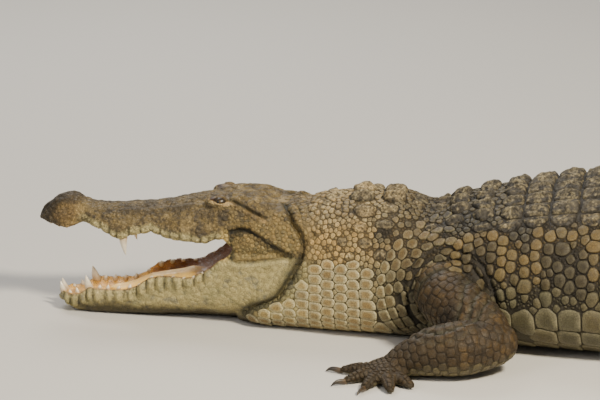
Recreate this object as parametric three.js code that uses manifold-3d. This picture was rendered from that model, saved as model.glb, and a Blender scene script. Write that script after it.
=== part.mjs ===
// A life-size adult Nile crocodile, lying on its belly with the mouth wide open.
//
// Millimetres, +Z up, +Y towards the tail, +X the animal's left. The floor is z = 0.
// The body is measured in stations: the distance from the snout tip along the spine.
// Lofts run along the spine, limbs are swept along curves, and thin cuts part the named pieces.

import * as THREE from 'three';
import { mergeVertices } from 'three/addons/utils/BufferGeometryUtils.js';
import Module from 'manifold-3d';

const wasm = await Module();
wasm.setup();

// ---------------------------------------------------------------- driving dimensions

const TOTAL_LENGTH = 3680; // along the spine, snout tip to tail tip
const ORIGIN_STATION = 1300; // the row's origin lies on the belly below this station
const GAP = 0.3; // between two pieces that touch
const SINK = 5; // how far a resting underside is pressed past the floor before it is cut flat
const MOUTH_CORNER = 440; // station where the jaws meet
const JAW_PLANE = 167; // height of the cut between the skull and the back of the lower jaw
const HEAD_END = 600; // station of the cut behind the head
const NECK_END = 900;
const TRUNK_MIDDLE = 1330;
const TRUNK_END = 1900;
const TAIL_CUTS = [2285, 2690, 3150];

// How finely each round thing is faceted.
const BODY_SIDES = 16;
const LIMB_SIDES = 8;
const LIMB_STEPS = 4;
const PALM_STEPS = 2;
const DIGIT_SIDES = 5;
const DIGIT_STEPS = 2;
const CLAW_SIDES = 4;
const CLAW_STEPS = 2;
const HEAD_POINTS_PER_SPAN = 2; // between two named lines of the head
const BROW_SEGMENTS = [8, 6];
const JOINT_SEGMENTS = [7, 4];
const EYE_SEGMENTS = [8, 6];

const HALF_SPACE = 400; // reach of a plane cut

const EYE_RADIUS = 14;
const EYE_CENTRE = new THREE.Vector3(59, 402, 263); // left eye
const BROW_SEMI_AXES = new THREE.Vector3(21, 33, 18);
const BROW_OFFSET = new THREE.Vector3(-8, -1, -3); // from the eye's centre

// ---------------------------------------------------------------- profile curves

// A smooth curve through its knots [station, value] that never overshoots them.
function curve(...knots) {
  const x = knots.map((knot) => knot[0]);
  const y = knots.map((knot) => knot[1]);
  const last = x.length - 1;
  const secant = x.slice(1).map((value, i) => (y[i + 1] - y[i]) / (value - x[i]));
  const slope = x.map((_, i) => {
    if (i === 0) return secant[0];
    if (i === last) return secant[last - 1];
    const before = secant[i - 1];
    const after = secant[i];
    return before * after <= 0 ? 0 : (2 * before * after) / (before + after);
  });
  return (at) => {
    if (at <= x[0]) return y[0];
    if (at >= x[last]) return y[last];
    let i = 0;
    while (at > x[i + 1]) i += 1;
    const width = x[i + 1] - x[i];
    const t = (at - x[i]) / width;
    const rise = y[i] * (1 + 2 * t) * (1 - t) ** 2 + y[i + 1] * t * t * (3 - 2 * t);
    return rise + width * (slope[i] * t * (1 - t) ** 2 - slope[i + 1] * t * t * (1 - t));
  };
}

const BODY = {
  halfWidth: curve(
    [440, 84], [500, 126], [560, 137], [600, 146], [700, 174], [800, 192], [900, 214], [1050, 252],
    [1350, 288], [1600, 262], [1760, 214], [1900, 160], [2100, 131], [2400, 98], [2800, 64], [3200, 38],
    [3500, 20], [3680, 7],
  ),
  top: curve(
    [440, 70], [500, 150], [550, 232], [600, 266], [650, 277], [700, 286], [780, 288], [845, 266],
    [930, 288], [1050, 312], [1210, 334], [1400, 345], [1600, 336], [1760, 311], [1900, 280], [2100, 240],
    [2400, 190], [2800, 136], [3200, 86], [3500, 48], [3680, 20],
  ),
  belt: curve([440, 40], [560, 84], [700, 106], [1000, 125], [1400, 138], [1900, 112], [2400, 84], [3680, 9]),
  topPower: curve([440, 2.2], [900, 2.3], [1400, 2.5], [1900, 2.2], [2400, 1.9], [3680, 1.8]),
  bottomPower: curve([440, 2.8], [600, 3.2], [900, 3.2], [1400, 3.4], [1900, 2.7], [2800, 2.5], [3680, 2.2]),
};

// The tail leaves the line of the trunk in one lazy bend to the left and back.
const HEADING = curve([1850, 0], [2450, 0.3], [2900, 0.26], [3300, -0.02], [3680, -0.3]);

// Upper jaw and skull, as half sections: dorsal edge, widest cheek, lip edge, gum edge and palate.
const UPPER = {
  top: curve(
    [0, 206], [9, 222], [26, 237], [47, 250], [69, 255], [86, 250], [112, 240], [135, 236], [198, 238],
    [241, 241], [284, 248], [327, 257], [365, 265], [407, 270], [440, 275], [475, 272], [500, 265],
    [521, 258], [560, 258], [596, 258],
  ),
  edgeX: curve(
    [0, 8], [26, 20], [47, 27], [69, 30], [112, 26], [135, 29], [198, 41], [250, 43], [330, 48],
    [380, 46], [435, 58], [520, 75], [560, 84], [596, 88],
  ),
  edgeZ: curve(
    [0, 204], [26, 230], [47, 243], [69, 248], [112, 233], [135, 228], [198, 226], [250, 230],
    [330, 246], [380, 260], [435, 272], [475, 270], [521, 256], [560, 246], [596, 236],
  ),
  cheekX: curve(
    [0, 12], [12, 27], [30, 39], [64, 47], [86, 44], [106, 39], [135, 53], [190, 69], [250, 66],
    [330, 85], [400, 98], [450, 106], [520, 116], [560, 123], [586, 123], [596, 112],
  ),
  cheekZ: curve(
    [0, 201], [40, 212], [69, 219], [106, 225], [135, 206], [190, 196], [250, 208], [330, 205],
    [420, 212], [596, 204],
  ),
  lipX: curve(
    [0, 10], [12, 23], [30, 35], [64, 44], [106, 37], [119, 44], [148, 58], [190, 68], [250, 63],
    [305, 79], [377, 93], [420, 98], [450, 104], [520, 114], [560, 121], [586, 121], [596, 110],
  ),
  lipZ: curve(
    [0, 198], [30, 194], [64, 189], [84, 194], [104, 199], [119, 195], [148, 187], [186, 173],
    [208, 182], [245, 188], [253, 193], [262, 188], [305, 179], [377, 179], [392, 188],
    [412, 190], [426, 180], [440, 167.3], [596, 167.3],
  ),
  palateZ: curve(
    [0, 200], [30, 202], [64, 205], [104, 212], [150, 205], [250, 203], [377, 200], [405, 196],
    [426, 184], [440, 167.3], [596, 167.3],
  ),
};

// Lower jaw, as half sections: floor of the mouth, gum, tooth row, widest side, lower edge and keel.
const LOWER = {
  floorZ: curve(
    [44, 30], [60, 33], [115, 41], [170, 42], [230, 52], [300, 64], [360, 82], [405, 112], [428, 150],
    [440, 167], [596, 167],
  ),
  rowX: curve(
    [44, 8], [52, 22], [64, 34], [90, 43], [115, 48], [200, 54], [250, 62], [300, 70], [350, 80],
    [400, 90], [440, 98], [520, 112], [560, 119], [586, 119], [596, 106],
  ),
  rowZ: curve(
    [44, 34], [56, 42], [68, 37], [92, 42], [115, 57], [135, 55], [190, 57], [222, 70], [249, 89],
    [293, 96], [332, 96], [357, 107], [386, 125], [404, 142], [420, 149], [440, 167], [596, 167],
  ),
  sideX: curve(
    [44, 11], [52, 26], [64, 39], [90, 48], [115, 53], [200, 60], [250, 68], [300, 76], [350, 86],
    [400, 96], [450, 106], [520, 116], [560, 123], [586, 124], [596, 112],
  ),
  sideZ: curve(
    [44, 29], [70, 25], [115, 30], [200, 34], [250, 50], [320, 62], [400, 92], [480, 104], [560, 128],
    [596, 140],
  ),
  edgeX: curve(
    [44, 8], [64, 31], [90, 41], [115, 46], [200, 54], [250, 60], [350, 76], [450, 94], [520, 104],
    [596, 110],
  ),
  edgeZ: curve(
    [44, 24], [64, 14], [90, 6], [115, 6], [200, 9], [250, 13], [315, 24], [360, 32], [450, 38],
    [500, 46], [540, 70], [596, 110],
  ),
  keelZ: curve([44, 22], [60, 8], [80, -2], [140, -SINK], [596, -SINK]),
};

// ---------------------------------------------------------------- solids

const MERGE_WITHIN = 1e-4;

function toSolid(geometry) {
  const bare = geometry.clone();
  bare.deleteAttribute('normal');
  bare.deleteAttribute('uv');
  const merged = mergeVertices(bare, MERGE_WITHIN);
  const mesh = new wasm.Mesh({
    numProp: 3,
    vertProperties: new Float32Array(merged.attributes.position.array),
    triVerts: new Uint32Array(merged.index.array),
  });
  return new wasm.Manifold(mesh);
}

// A closed surface through rings of points, each ring turning right-handed about the way ahead.
function loft(rings) {
  const sides = rings[0].length;
  const points = rings.flat();
  const triangles = [];
  for (let i = 0; i + 1 < rings.length; i += 1) {
    for (let k = 0; k < sides; k += 1) {
      const next = (k + 1) % sides;
      const a = i * sides + k;
      const b = i * sides + next;
      triangles.push(a, b, b + sides, a, b + sides, a + sides);
    }
  }
  [rings[0], rings.at(-1)].forEach((ring, end) => {
    const centre = ring.reduce((sum, point) => sum.add(point), new THREE.Vector3()).divideScalar(sides);
    const base = end * (rings.length - 1) * sides;
    points.push(centre);
    for (let k = 0; k < sides; k += 1) {
      const pair = [base + k, base + ((k + 1) % sides)];
      triangles.push(points.length - 1, ...(end ? pair : pair.reverse()));
    }
  });
  const geometry = new THREE.BufferGeometry();
  geometry.setAttribute('position', new THREE.Float32BufferAttribute(points.flatMap((p) => p.toArray()), 3));
  geometry.setIndex(triangles);
  return toSolid(geometry);
}

// An axis-aligned block between two corners.
function block(low, high) {
  const size = high.map((value, axis) => value - low[axis]);
  const box = new THREE.BoxGeometry(...size);
  box.translate(...low.map((value, axis) => value + size[axis] / 2));
  return toSolid(box);
}

const UP = new THREE.Vector3(0, 0, 1);
const turnFromUp = (way) => new THREE.Quaternion().setFromUnitVectors(UP, way.clone().normalize());

// A thin square slab, GAP thick, across the given direction.
function slab(centre, direction, reach) {
  const box = new THREE.BoxGeometry(reach, reach, GAP);
  box.applyQuaternion(turnFromUp(direction));
  return toSolid(box.translate(...centre.toArray()));
}

// Everything within reach on the far side of a plane.
function halfSpace(point, direction) {
  const box = new THREE.BoxGeometry(HALF_SPACE, HALF_SPACE, HALF_SPACE);
  box.translate(0, 0, HALF_SPACE / 2);
  box.applyQuaternion(turnFromUp(direction));
  return toSolid(box.translate(...point.toArray()));
}

const union = (...solids) => solids.reduce((sum, solid) => sum.add(solid));
const FAR = 6000;
const underFloor = block([-FAR, -FAR, -FAR], [FAR, FAR, 0]);
const onFloor = (solid) => solid.subtract(underFloor);

function largest(solid) {
  const pieces = solid.decompose();
  return pieces.reduce((best, piece) => (piece.volume() > best.volume() ? piece : best));
}

const signedPower = (value, power) => Math.sign(value) * Math.abs(value) ** power;

// ---------------------------------------------------------------- the spine and the body

const SPINE_STEP = 5;
const spine = [new THREE.Vector3()];
for (let s = 0; s < TOTAL_LENGTH; s += SPINE_STEP) {
  const heading = HEADING(s + SPINE_STEP / 2);
  const ahead = new THREE.Vector3(Math.sin(heading), Math.cos(heading), 0);
  spine.push(spine.at(-1).clone().addScaledVector(ahead, SPINE_STEP));
}

function spinePoint(station) {
  const at = Math.min(Math.max(station / SPINE_STEP, 0), spine.length - 1);
  const i = Math.min(Math.floor(at), spine.length - 2);
  return spine[i].clone().lerp(spine[i + 1], at - i);
}

// A point beside the spine: x to the left of it and z above the floor.
function beside(station, x, z) {
  const heading = HEADING(station);
  const left = new THREE.Vector3(Math.cos(heading), -Math.sin(heading), 0);
  return spinePoint(station).addScaledVector(left, x).setZ(z);
}

function bodyRing(station, grow) {
  const ring = [];
  const belt = BODY.belt(station);
  for (let k = 0; k < BODY_SIDES; k += 1) {
    const angle = (2 * Math.PI * k) / BODY_SIDES;
    const upper = Math.cos(angle) >= 0;
    const power = 2 / (upper ? BODY.topPower(station) : BODY.bottomPower(station));
    const reach = upper ? BODY.top(station) - belt : belt + SINK;
    const x = (BODY.halfWidth(station) + grow) * signedPower(Math.sin(angle), power);
    const z = belt + (reach + grow) * signedPower(Math.cos(angle), power);
    ring.push(beside(station, x, z));
  }
  return ring;
}

const BODY_STATIONS = [
  440, 490, 545, 600, 650, 700, 785, 845, 890, 930, 1050, 1210, 1400, 1540, 1640, 1760, 1840, 1900,
  1990, 2100, 2240, 2400, 2560, 2720, 2880, 3040, 3200, 3400, TOTAL_LENGTH,
];
const makeBody = (grow = 0) => loft(BODY_STATIONS.map((station) => bodyRing(station, grow)));

// The upright scales of the tail: two rows that close in on each other, then one row.
const CREST = {
  first: 1940,
  joined: 2860, // the two rows become one here
  last: 3640,
  pitch: 104,
  peak: 0.8, // a blade's highest point, as a share of the pitch
  notch: 0.25, // height left between two blades, as a share of the blade's
  height: curve([1940, 14], [2200, 26], [2860, 44], [3300, 40], [3640, 14]),
  spread: curve([1940, 78], [2300, 58], [2700, 30], [2860, 16]),
  halfThickness: 6,
  edge: 0.5, // thickness at the top edge, as a share of the foot's
  lean: 0.3, // outward lean of the paired rows
  root: 18, // how deep a row stands in the tail
  rootStep: 312, // between the points of its lower edge
};

// The height of the skin of the back at a distance x from the spine's line.
function backZ(station, x) {
  const power = BODY.topPower(station);
  const share = (1 - Math.min(Math.abs(x) / BODY.halfWidth(station), 1) ** power) ** (1 / power);
  return BODY.belt(station) + share * (BODY.top(station) - BODY.belt(station));
}

// One row of blades as a saw-edged strip that follows the tail; side is 1, -1 or 0 for the middle.
function crestRow(side, first, last) {
  const outline = [];
  for (let station = first; station < last; station += CREST.pitch) {
    const height = CREST.height(station);
    outline.push([station, height * CREST.notch], [station + CREST.pitch * CREST.peak, height]);
  }
  const end = outline.at(-1)[0] + CREST.pitch * (1 - CREST.peak);
  for (let station = end; station > first; station -= CREST.rootStep) outline.push([station, -CREST.root]);
  outline.push([first, -CREST.root]);
  const profile = new THREE.Shape(outline.map(([station, height]) => new THREE.Vector2(station, height)));
  const strip = new THREE.ExtrudeGeometry(profile, { depth: 2 * CREST.halfThickness, bevelEnabled: false });
  const position = strip.attributes.position;
  for (let i = 0; i < position.count; i += 1) {
    const station = position.getX(i);
    const height = position.getY(i);
    const row = side * CREST.spread(station);
    const taper = height > 0 ? 1 - (1 - CREST.edge) * (height / CREST.height(station)) : 1;
    const x = row + side * CREST.lean * height + taper * (position.getZ(i) - CREST.halfThickness);
    position.setXYZ(i, ...beside(station, x, backZ(station, row) + height).toArray());
  }
  return toSolid(strip);
}

const makeCrest = () => union(
  crestRow(1, CREST.first, CREST.joined),
  crestRow(-1, CREST.first, CREST.joined),
  crestRow(0, CREST.joined, CREST.last),
);

// ---------------------------------------------------------------- head

const LIP_INNER = 0.76; // how far out the inner edge of the lip lies, as a share of the lip's width
const LIP_RISE = 5; // of that edge over the lip
const GUM_INNER = 0.72; // the same for the lower jaw's gum
const CUT_INNER = 0.62; // the same behind the corner of the mouth, where both jaws end in a level cut

// A closed ring through half-section points, mirrored about the middle plane.
function headRing(station, half) {
  const mirrored = half.slice(1, -1).reverse().map(([x, z]) => [-x, z]);
  const corners = [...half, ...mirrored].map(([x, z]) => new THREE.Vector3(x, station, z));
  const smooth = new THREE.CatmullRomCurve3(corners, true, 'centripetal');
  const count = corners.length * HEAD_POINTS_PER_SPAN;
  return Array.from({ length: count }, (_, i) => smooth.getPoint(i / count));
}

function upperRing(y) {
  const lip = [UPPER.lipX(y), UPPER.lipZ(y)];
  const behind = y > MOUTH_CORNER;
  const half = [
    [0, UPPER.top(y)],
    [UPPER.edgeX(y), UPPER.edgeZ(y)],
    [UPPER.cheekX(y), UPPER.cheekZ(y)],
    lip,
    behind ? [lip[0] * CUT_INNER, lip[1]] : [lip[0] * LIP_INNER, lip[1] + LIP_RISE],
    [0, UPPER.palateZ(y)],
  ];
  return headRing(y, half);
}

function lowerRing(y) {
  const row = [LOWER.rowX(y), LOWER.rowZ(y)];
  const behind = y > MOUTH_CORNER;
  const half = [
    [0, LOWER.floorZ(y)],
    behind ? [row[0] * CUT_INNER, row[1]] : [row[0] * GUM_INNER, (row[1] + LOWER.floorZ(y)) / 2],
    row,
    [LOWER.sideX(y), LOWER.sideZ(y)],
    [LOWER.edgeX(y), LOWER.edgeZ(y)],
    [0, LOWER.keelZ(y)],
  ];
  return headRing(y, half);
}

const UPPER_STATIONS = [
  0, 10, 28, 50, 72, 90, 104, 119, 150, 190, 212, 245, 254, 268, 320, 378, 402, 428, 441, 490, 540,
  596,
];
const LOWER_STATIONS = [
  44, 52, 68, 92, 115, 190, 222, 250, 300, 350, 395, 422, 441, 500, 560, 596,
];

function flattenBehind(ring, level, keepAbove) {
  return ring.map((p) => (keepAbove ? p.setZ(Math.max(p.z, level)) : p.setZ(Math.min(p.z, level))));
}

function makeUpperJaw() {
  const rings = UPPER_STATIONS.map((y) => flattenBehind(upperRing(y), JAW_PLANE + GAP, true));
  const brow = new THREE.SphereGeometry(1, ...BROW_SEGMENTS);
  brow.scale(...BROW_SEMI_AXES.toArray());
  const brows = [1, -1].map((side) => {
    const centre = EYE_CENTRE.clone().add(BROW_OFFSET);
    centre.x *= side;
    return toSolid(brow.clone().translate(...centre.toArray()));
  });
  return union(loft(rings), ...brows);
}

const makeLowerJaw = () => loft(LOWER_STATIONS.map((y) => flattenBehind(lowerRing(y), JAW_PLANE, false)));

function eyeBall(side, radius) {
  const ball = new THREE.SphereGeometry(radius, ...EYE_SEGMENTS);
  return toSolid(ball.translate(side * EYE_CENTRE.x, EYE_CENTRE.y, EYE_CENTRE.z));
}

// The teeth that stand out as [station, length past the gum, radius]; a jaw's two sides are alike.
const UPPER_TEETH = [[28, 12, 4.5], [45, 15, 5.5], [62, 13, 5], [169, 12, 5], [191, 33, 8.5]];
const LOWER_TEETH = [[50, 20, 5.5], [84, 13, 4.5], [110, 27, 7], [252, 10, 5.5]];
const TOOTH_ROOT = 9;
const TOOTH_SIDES = 5;
const TOOTH_RAKE = 0.12; // the tips point a little backwards
const TOOTH_FLARE = 1.15; // the root's radius over the tooth's
const TOOTH_INSET = 1; // of the tooth's side from the edge of the lip

function teeth(rows, x, z, up) {
  const solids = [];
  rows.forEach(([station, length, radius]) => {
    [1, -1].forEach((side) => {
      const cone = new THREE.ConeGeometry(radius * TOOTH_FLARE, length + TOOTH_ROOT, TOOTH_SIDES);
      cone.rotateX(up ? Math.PI / 2 : -Math.PI / 2);
      cone.rotateX(up ? -TOOTH_RAKE : TOOTH_RAKE);
      const inset = side * (x(station) - radius - TOOTH_INSET);
      const rise = (up ? 1 : -1) * ((length + TOOTH_ROOT) / 2 - TOOTH_ROOT);
      solids.push(toSolid(cone.translate(inset, station, z(station) + rise)));
    });
  });
  return solids;
}

const TONGUE = {
  stations: [150, 162, 190, 230, 275, 330, 380, 412],
  halfWidth: curve([150, 16], [200, 26], [300, 34], [370, 44], [415, 40]),
  halfThickness: 9,
  rise: 2, // of its middle over the floor of the mouth
  tip: 0.35, // size of its two end sections, as a share of the full one
};

function makeTongue(lowerJaw) {
  const rings = TONGUE.stations.map((y, i) => {
    const share = i === 0 || i === TONGUE.stations.length - 1 ? TONGUE.tip : 1;
    return Array.from({ length: LIMB_SIDES }, (_, k) => {
      const angle = (2 * Math.PI * k) / LIMB_SIDES;
      const z = LOWER.floorZ(y) + TONGUE.rise + TONGUE.halfThickness * share * Math.cos(angle);
      return new THREE.Vector3(TONGUE.halfWidth(y) * share * Math.sin(angle), y, z);
    });
  });
  return largest(loft(rings).subtract(lowerJaw.translate([0, 0, GAP])));
}

// ---------------------------------------------------------------- limbs

// A tube along a smooth curve through [x, y, z, half width, half height] marks.
function limb(marks, steps, sides, grow = 0) {
  const path = new THREE.CatmullRomCurve3(marks.map(([x, y, z]) => new THREE.Vector3(x, y, z)));
  const wide = curve(...marks.map((mark, i) => [i / (marks.length - 1), mark[3] + grow]));
  const high = curve(...marks.map((mark, i) => [i / (marks.length - 1), mark[4] + grow]));
  const rings = [];
  for (let i = 0; i <= steps; i += 1) {
    const t = i / steps;
    const centre = path.getPoint(t);
    const ahead = path.getTangent(t);
    const across = new THREE.Vector3(0, 0, 1).cross(ahead).normalize();
    const upward = ahead.clone().cross(across);
    rings.push(Array.from({ length: sides }, (_, k) => {
      const angle = (2 * Math.PI * k) / sides;
      return centre.clone()
        .addScaledVector(across, wide(t) * Math.cos(angle))
        .addScaledVector(upward, high(t) * Math.sin(angle));
    }));
  }
  return loft(rings);
}

// The left legs. A digit is [degrees from straight ahead, length, 1 where it has a claw].
const FORE = {
  upper: [[150, 885, 132, 70, 72], [226, 908, 118, 66, 66], [290, 962, 98, 61, 58], [340, 1008, 64, 54, 50]],
  lower: [
    [340, 1008, 66, 56, 52], [378, 950, 62, 60, 57], [383, 890, 54, 56, 52], [384, 838, 36, 47, 37],
    [390, 808, 24, 43, 25],
  ],
  wrist: [389, 842, 30],
  wristAhead: [0.05, -1],
  webbed: false,
  palm: [[390, 826, 24, 34, 20], [400, 800, 19, 48, 21], [408, 772, 15, 44, 17]],
  heel: [405, 795],
  digits: [[-10, 96, 1], [36, 94, 1], [72, 102, 1], [103, 112, 0], [132, 98, 0]],
  digitRadius: 14,
};
const HIND = {
  upper: [
    [105, 1760, 158, 84, 88], [215, 1706, 142, 84, 82], [312, 1640, 108, 72, 68], [368, 1606, 74, 60, 56],
  ],
  lower: [
    [368, 1606, 74, 60, 56], [404, 1660, 60, 60, 52], [436, 1745, 48, 50, 44], [452, 1806, 32, 42, 32],
    [456, 1830, 26, 40, 26],
  ],
  wrist: [453, 1800, 34],
  wristAhead: [0.15, 1],
  webbed: true,
  palm: [[456, 1826, 24, 30, 20], [480, 1824, 24, 46, 24], [508, 1800, 19, 54, 19], [532, 1772, 14, 52, 15]],
  heel: [486, 1822],
  digits: [[18, 150, 1], [38, 178, 1], [58, 186, 1], [80, 162, 0]],
  digitRadius: 15,
};
// A digit's sections: [share of its length, height, half width, half height], the last three in its radius.
const DIGIT_SECTIONS = [
  [0.3, 1, 1.15, 1.15], [0.58, 0.95, 1.05, 1], [0.8, 0.72, 0.86, 0.8], [1, 0.5, 0.6, 0.55],
];
const CLAW_START = 1.6; // clear of the sloping tip of the digit
// A claw's sections: [reach past the digit, rise over its tip, half width, half height].
const CLAW_SECTIONS = [[CLAW_START, 0, 5.95, 5.95], [15, 1.5, 4.3, 4.9]];
const CLAW_POINT = [30, 2.2, 1.2]; // reach, height over the floor, radius
const WEB_THICKNESS = 7;

const mirror = (marks, side, shift) => marks.map(([x, y, z, ...rest]) => [side * x, y + shift, z, ...rest]);

// A digit leaves the heel at an angle measured from straight ahead towards the outside.
function digitMarks(plan, side, shift, [degrees, length]) {
  const angle = THREE.MathUtils.degToRad(degrees);
  const r = plan.digitRadius;
  return DIGIT_SECTIONS.map(([share, ...sizes]) => [
    side * (plan.heel[0] + Math.sin(angle) * length * share),
    plan.heel[1] + shift - Math.cos(angle) * length * share,
    ...sizes.map((size) => size * r),
  ]);
}

function clawMarks(digit) {
  const [x0, y0] = digit.at(-2);
  const [x1, y1, z1] = digit.at(-1);
  const away = new THREE.Vector2(x1 - x0, y1 - y0).normalize();
  const at = (reach) => [x1 + away.x * reach, y1 + away.y * reach];
  const [reach, height, radius] = CLAW_POINT;
  return [
    ...CLAW_SECTIONS.map(([ahead, rise, wide, high]) => [...at(ahead), z1 + rise, wide, high]),
    [...at(reach), height, radius, radius],
  ];
}

// One thin fan of skin between all the toes.
function web(plan, side, shift) {
  const toes = plan.digits.map((digit) => digitMarks(plan, side, shift, digit));
  const on = (toe, section) => new THREE.Vector2(toe[section][0], toe[section][1]);
  const rim = [new THREE.Vector2(side * plan.heel[0], plan.heel[1] + shift)];
  toes.forEach((toe, i) => {
    if (i) rim.push(on(toe, 1).lerp(on(toes[i - 1], 1), 0.5));
    rim.push(on(toe, 2));
  });
  const depth = WEB_THICKNESS + SINK;
  const fan = new THREE.ExtrudeGeometry(new THREE.Shape(rim), { depth, bevelEnabled: false });
  return toSolid(fan.translate(0, 0, -SINK));
}

// The upper length of a leg, with a round elbow or knee.
function upperLength(marks, grow = 0) {
  const [x, y, z, wide, high] = marks.at(-1);
  const joint = new THREE.SphereGeometry(1, ...JOINT_SEGMENTS);
  joint.scale(wide + grow, wide + grow, high + grow);
  return union(limb(marks, LIMB_STEPS, LIMB_SIDES, grow), toSolid(joint.translate(x, y, z)));
}

// One leg: a list of [name, solid] for its three lengths and its claws.
function makeLeg(plan, names, side, shift, bodyGrown) {
  const upperMarks = mirror(plan.upper, side, shift);
  const lowerMarks = mirror(plan.lower, side, shift);
  const digits = plan.digits.map((digit) => digitMarks(plan, side, shift, digit));

  const wrist = new THREE.Vector3(side * plan.wrist[0], plan.wrist[1] + shift, plan.wrist[2]);
  const ahead = new THREE.Vector3(side * plan.wristAhead[0], plan.wristAhead[1], 0).normalize();
  const upper = upperLength(upperMarks).subtract(bodyGrown);
  const upperGrown = union(upperLength(upperMarks, GAP), bodyGrown);
  const lower = limb(lowerMarks, LIMB_STEPS, LIMB_SIDES).subtract(upperGrown);
  const lowerGrown = limb(lowerMarks, LIMB_STEPS, LIMB_SIDES, 2 * GAP);
  const palm = limb(mirror(plan.palm, side, shift), PALM_STEPS, LIMB_SIDES);
  const fingers = digits.map((marks) => limb(marks, DIGIT_STEPS, DIGIT_SIDES));

  const foot = union(palm, lower, ...fingers, ...(plan.webbed ? [web(plan, side, shift)] : []))
    .subtract(lowerGrown.subtract(halfSpace(wrist.clone().addScaledVector(ahead, GAP), ahead)))
    .subtract(upperGrown);
  const claws = [];
  digits.forEach((marks, i) => {
    if (!plan.digits[i][2]) return;
    claws.push([`${names[3]}_${i + 1}`, onFloor(limb(clawMarks(marks), CLAW_STEPS, CLAW_SIDES))]);
  });
  return [
    [names[0], largest(onFloor(upper))],
    [names[1], largest(onFloor(lower.subtract(halfSpace(wrist, ahead))))],
    [names[2], largest(onFloor(foot))],
    ...claws,
  ];
}

// ---------------------------------------------------------------- assembly

const looks = {
  hide: { color: 0x8f7a58, roughness: 0.75, metalness: 0 },
  back: { color: 0x6f6858, roughness: 0.85, metalness: 0 },
  jaw: { color: 0xa59f78, roughness: 0.6, metalness: 0 },
  mouth: { color: 0xd49a4c, roughness: 0.45, metalness: 0 },
  eye: { color: 0x16181c, roughness: 0.08, metalness: 0 },
  claw: { color: 0x2c2620, roughness: 0.4, metalness: 0 },
};

const group = new THREE.Group();

function show(name, solid, look) {
  const { vertProperties, triVerts } = solid.getMesh();
  const geometry = new THREE.BufferGeometry();
  geometry.setAttribute('position', new THREE.BufferAttribute(new Float32Array(vertProperties), 3));
  geometry.setIndex(new THREE.BufferAttribute(new Uint32Array(triVerts), 1));
  geometry.computeVertexNormals();
  const mesh = new THREE.Mesh(geometry, new THREE.MeshStandardMaterial(looks[look]));
  mesh.name = name;
  mesh.position.y = -ORIGIN_STATION;
  group.add(mesh);
}

const body = onFloor(makeBody());
const bodyGrown = makeBody(GAP);
const between = (from, to) => block([-FAR, from, 0], [FAR, to, FAR]);

// head
const throat = body.intersect(between(0, HEAD_END));
const aboveJaw = block([-FAR, 0, JAW_PLANE + GAP], [FAR, HEAD_END, FAR]);
const belowJaw = block([-FAR, 0, 0], [FAR, HEAD_END, JAW_PLANE]);
const upperTeeth = teeth(UPPER_TEETH, UPPER.lipX, UPPER.lipZ, false);
const eyeSockets = union(eyeBall(1, EYE_RADIUS + GAP), eyeBall(-1, EYE_RADIUS + GAP));
const skull = union(makeUpperJaw(), throat.intersect(aboveJaw), ...upperTeeth).subtract(eyeSockets);
const jawFlesh = onFloor(union(makeLowerJaw(), throat.intersect(belowJaw)));
const lowerJaw = union(jawFlesh, ...teeth(LOWER_TEETH, LOWER.rowX, LOWER.rowZ, true));
show('head_upper', largest(skull), 'hide');
show('lower_jaw', largest(lowerJaw), 'jaw');
show('tongue', makeTongue(lowerJaw), 'mouth');
show('eye_left', eyeBall(1, EYE_RADIUS), 'eye');
show('eye_right', eyeBall(-1, EYE_RADIUS), 'eye');

// neck and trunk
show('neck', largest(body.intersect(between(HEAD_END + GAP, NECK_END))), 'hide');
show('trunk_front', largest(body.intersect(between(NECK_END + GAP, TRUNK_MIDDLE))), 'back');
show('trunk_rear', largest(body.intersect(between(TRUNK_MIDDLE + GAP, TRUNK_END))), 'back');

// tail, cut square to the spine
const TAIL_CUT_REACH = 700;
const tailCut = (station) => {
  const ahead = spinePoint(station + 1).sub(spinePoint(station - 1));
  return slab(beside(station, 0, BODY.belt(station)), ahead, TAIL_CUT_REACH);
};
const tail = TAIL_CUTS.reduce(
  (rest, station) => rest.subtract(tailCut(station)),
  union(body, makeCrest()).intersect(between(TRUNK_END + GAP, FAR)),
);
tail.decompose()
  .sort((a, b) => b.volume() - a.volume())
  .slice(0, TAIL_CUTS.length + 1)
  .sort((a, b) => a.boundingBox().min[1] - b.boundingBox().min[1])
  .forEach((solid, i) => show(`tail_${i + 1}`, solid, 'back'));

// legs; the right ones are placed a little further back than the left ones
const RIGHT_ARM_BACK = 26;
const RIGHT_LEG_BACK = 38;
const LEGS = [
  [FORE, ['upper_arm_left', 'forearm_left', 'hand_left', 'claw_hand_left'], 1, 0],
  [FORE, ['upper_arm_right', 'forearm_right', 'hand_right', 'claw_hand_right'], -1, RIGHT_ARM_BACK],
  [HIND, ['thigh_left', 'shank_left', 'foot_left', 'claw_foot_left'], 1, 0],
  [HIND, ['thigh_right', 'shank_right', 'foot_right', 'claw_foot_right'], -1, RIGHT_LEG_BACK],
];
LEGS.forEach(([plan, names, side, shift]) => {
  makeLeg(plan, names, side, shift, bodyGrown)
    .forEach(([name, solid]) => show(name, solid, name.startsWith('claw') ? 'claw' : 'hide'));
});

export default group;
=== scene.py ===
import bmesh
import bpy
import numpy as np
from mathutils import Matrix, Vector
from mathutils.bvhtree import BVHTree
from mathutils.kdtree import KDTree


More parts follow.
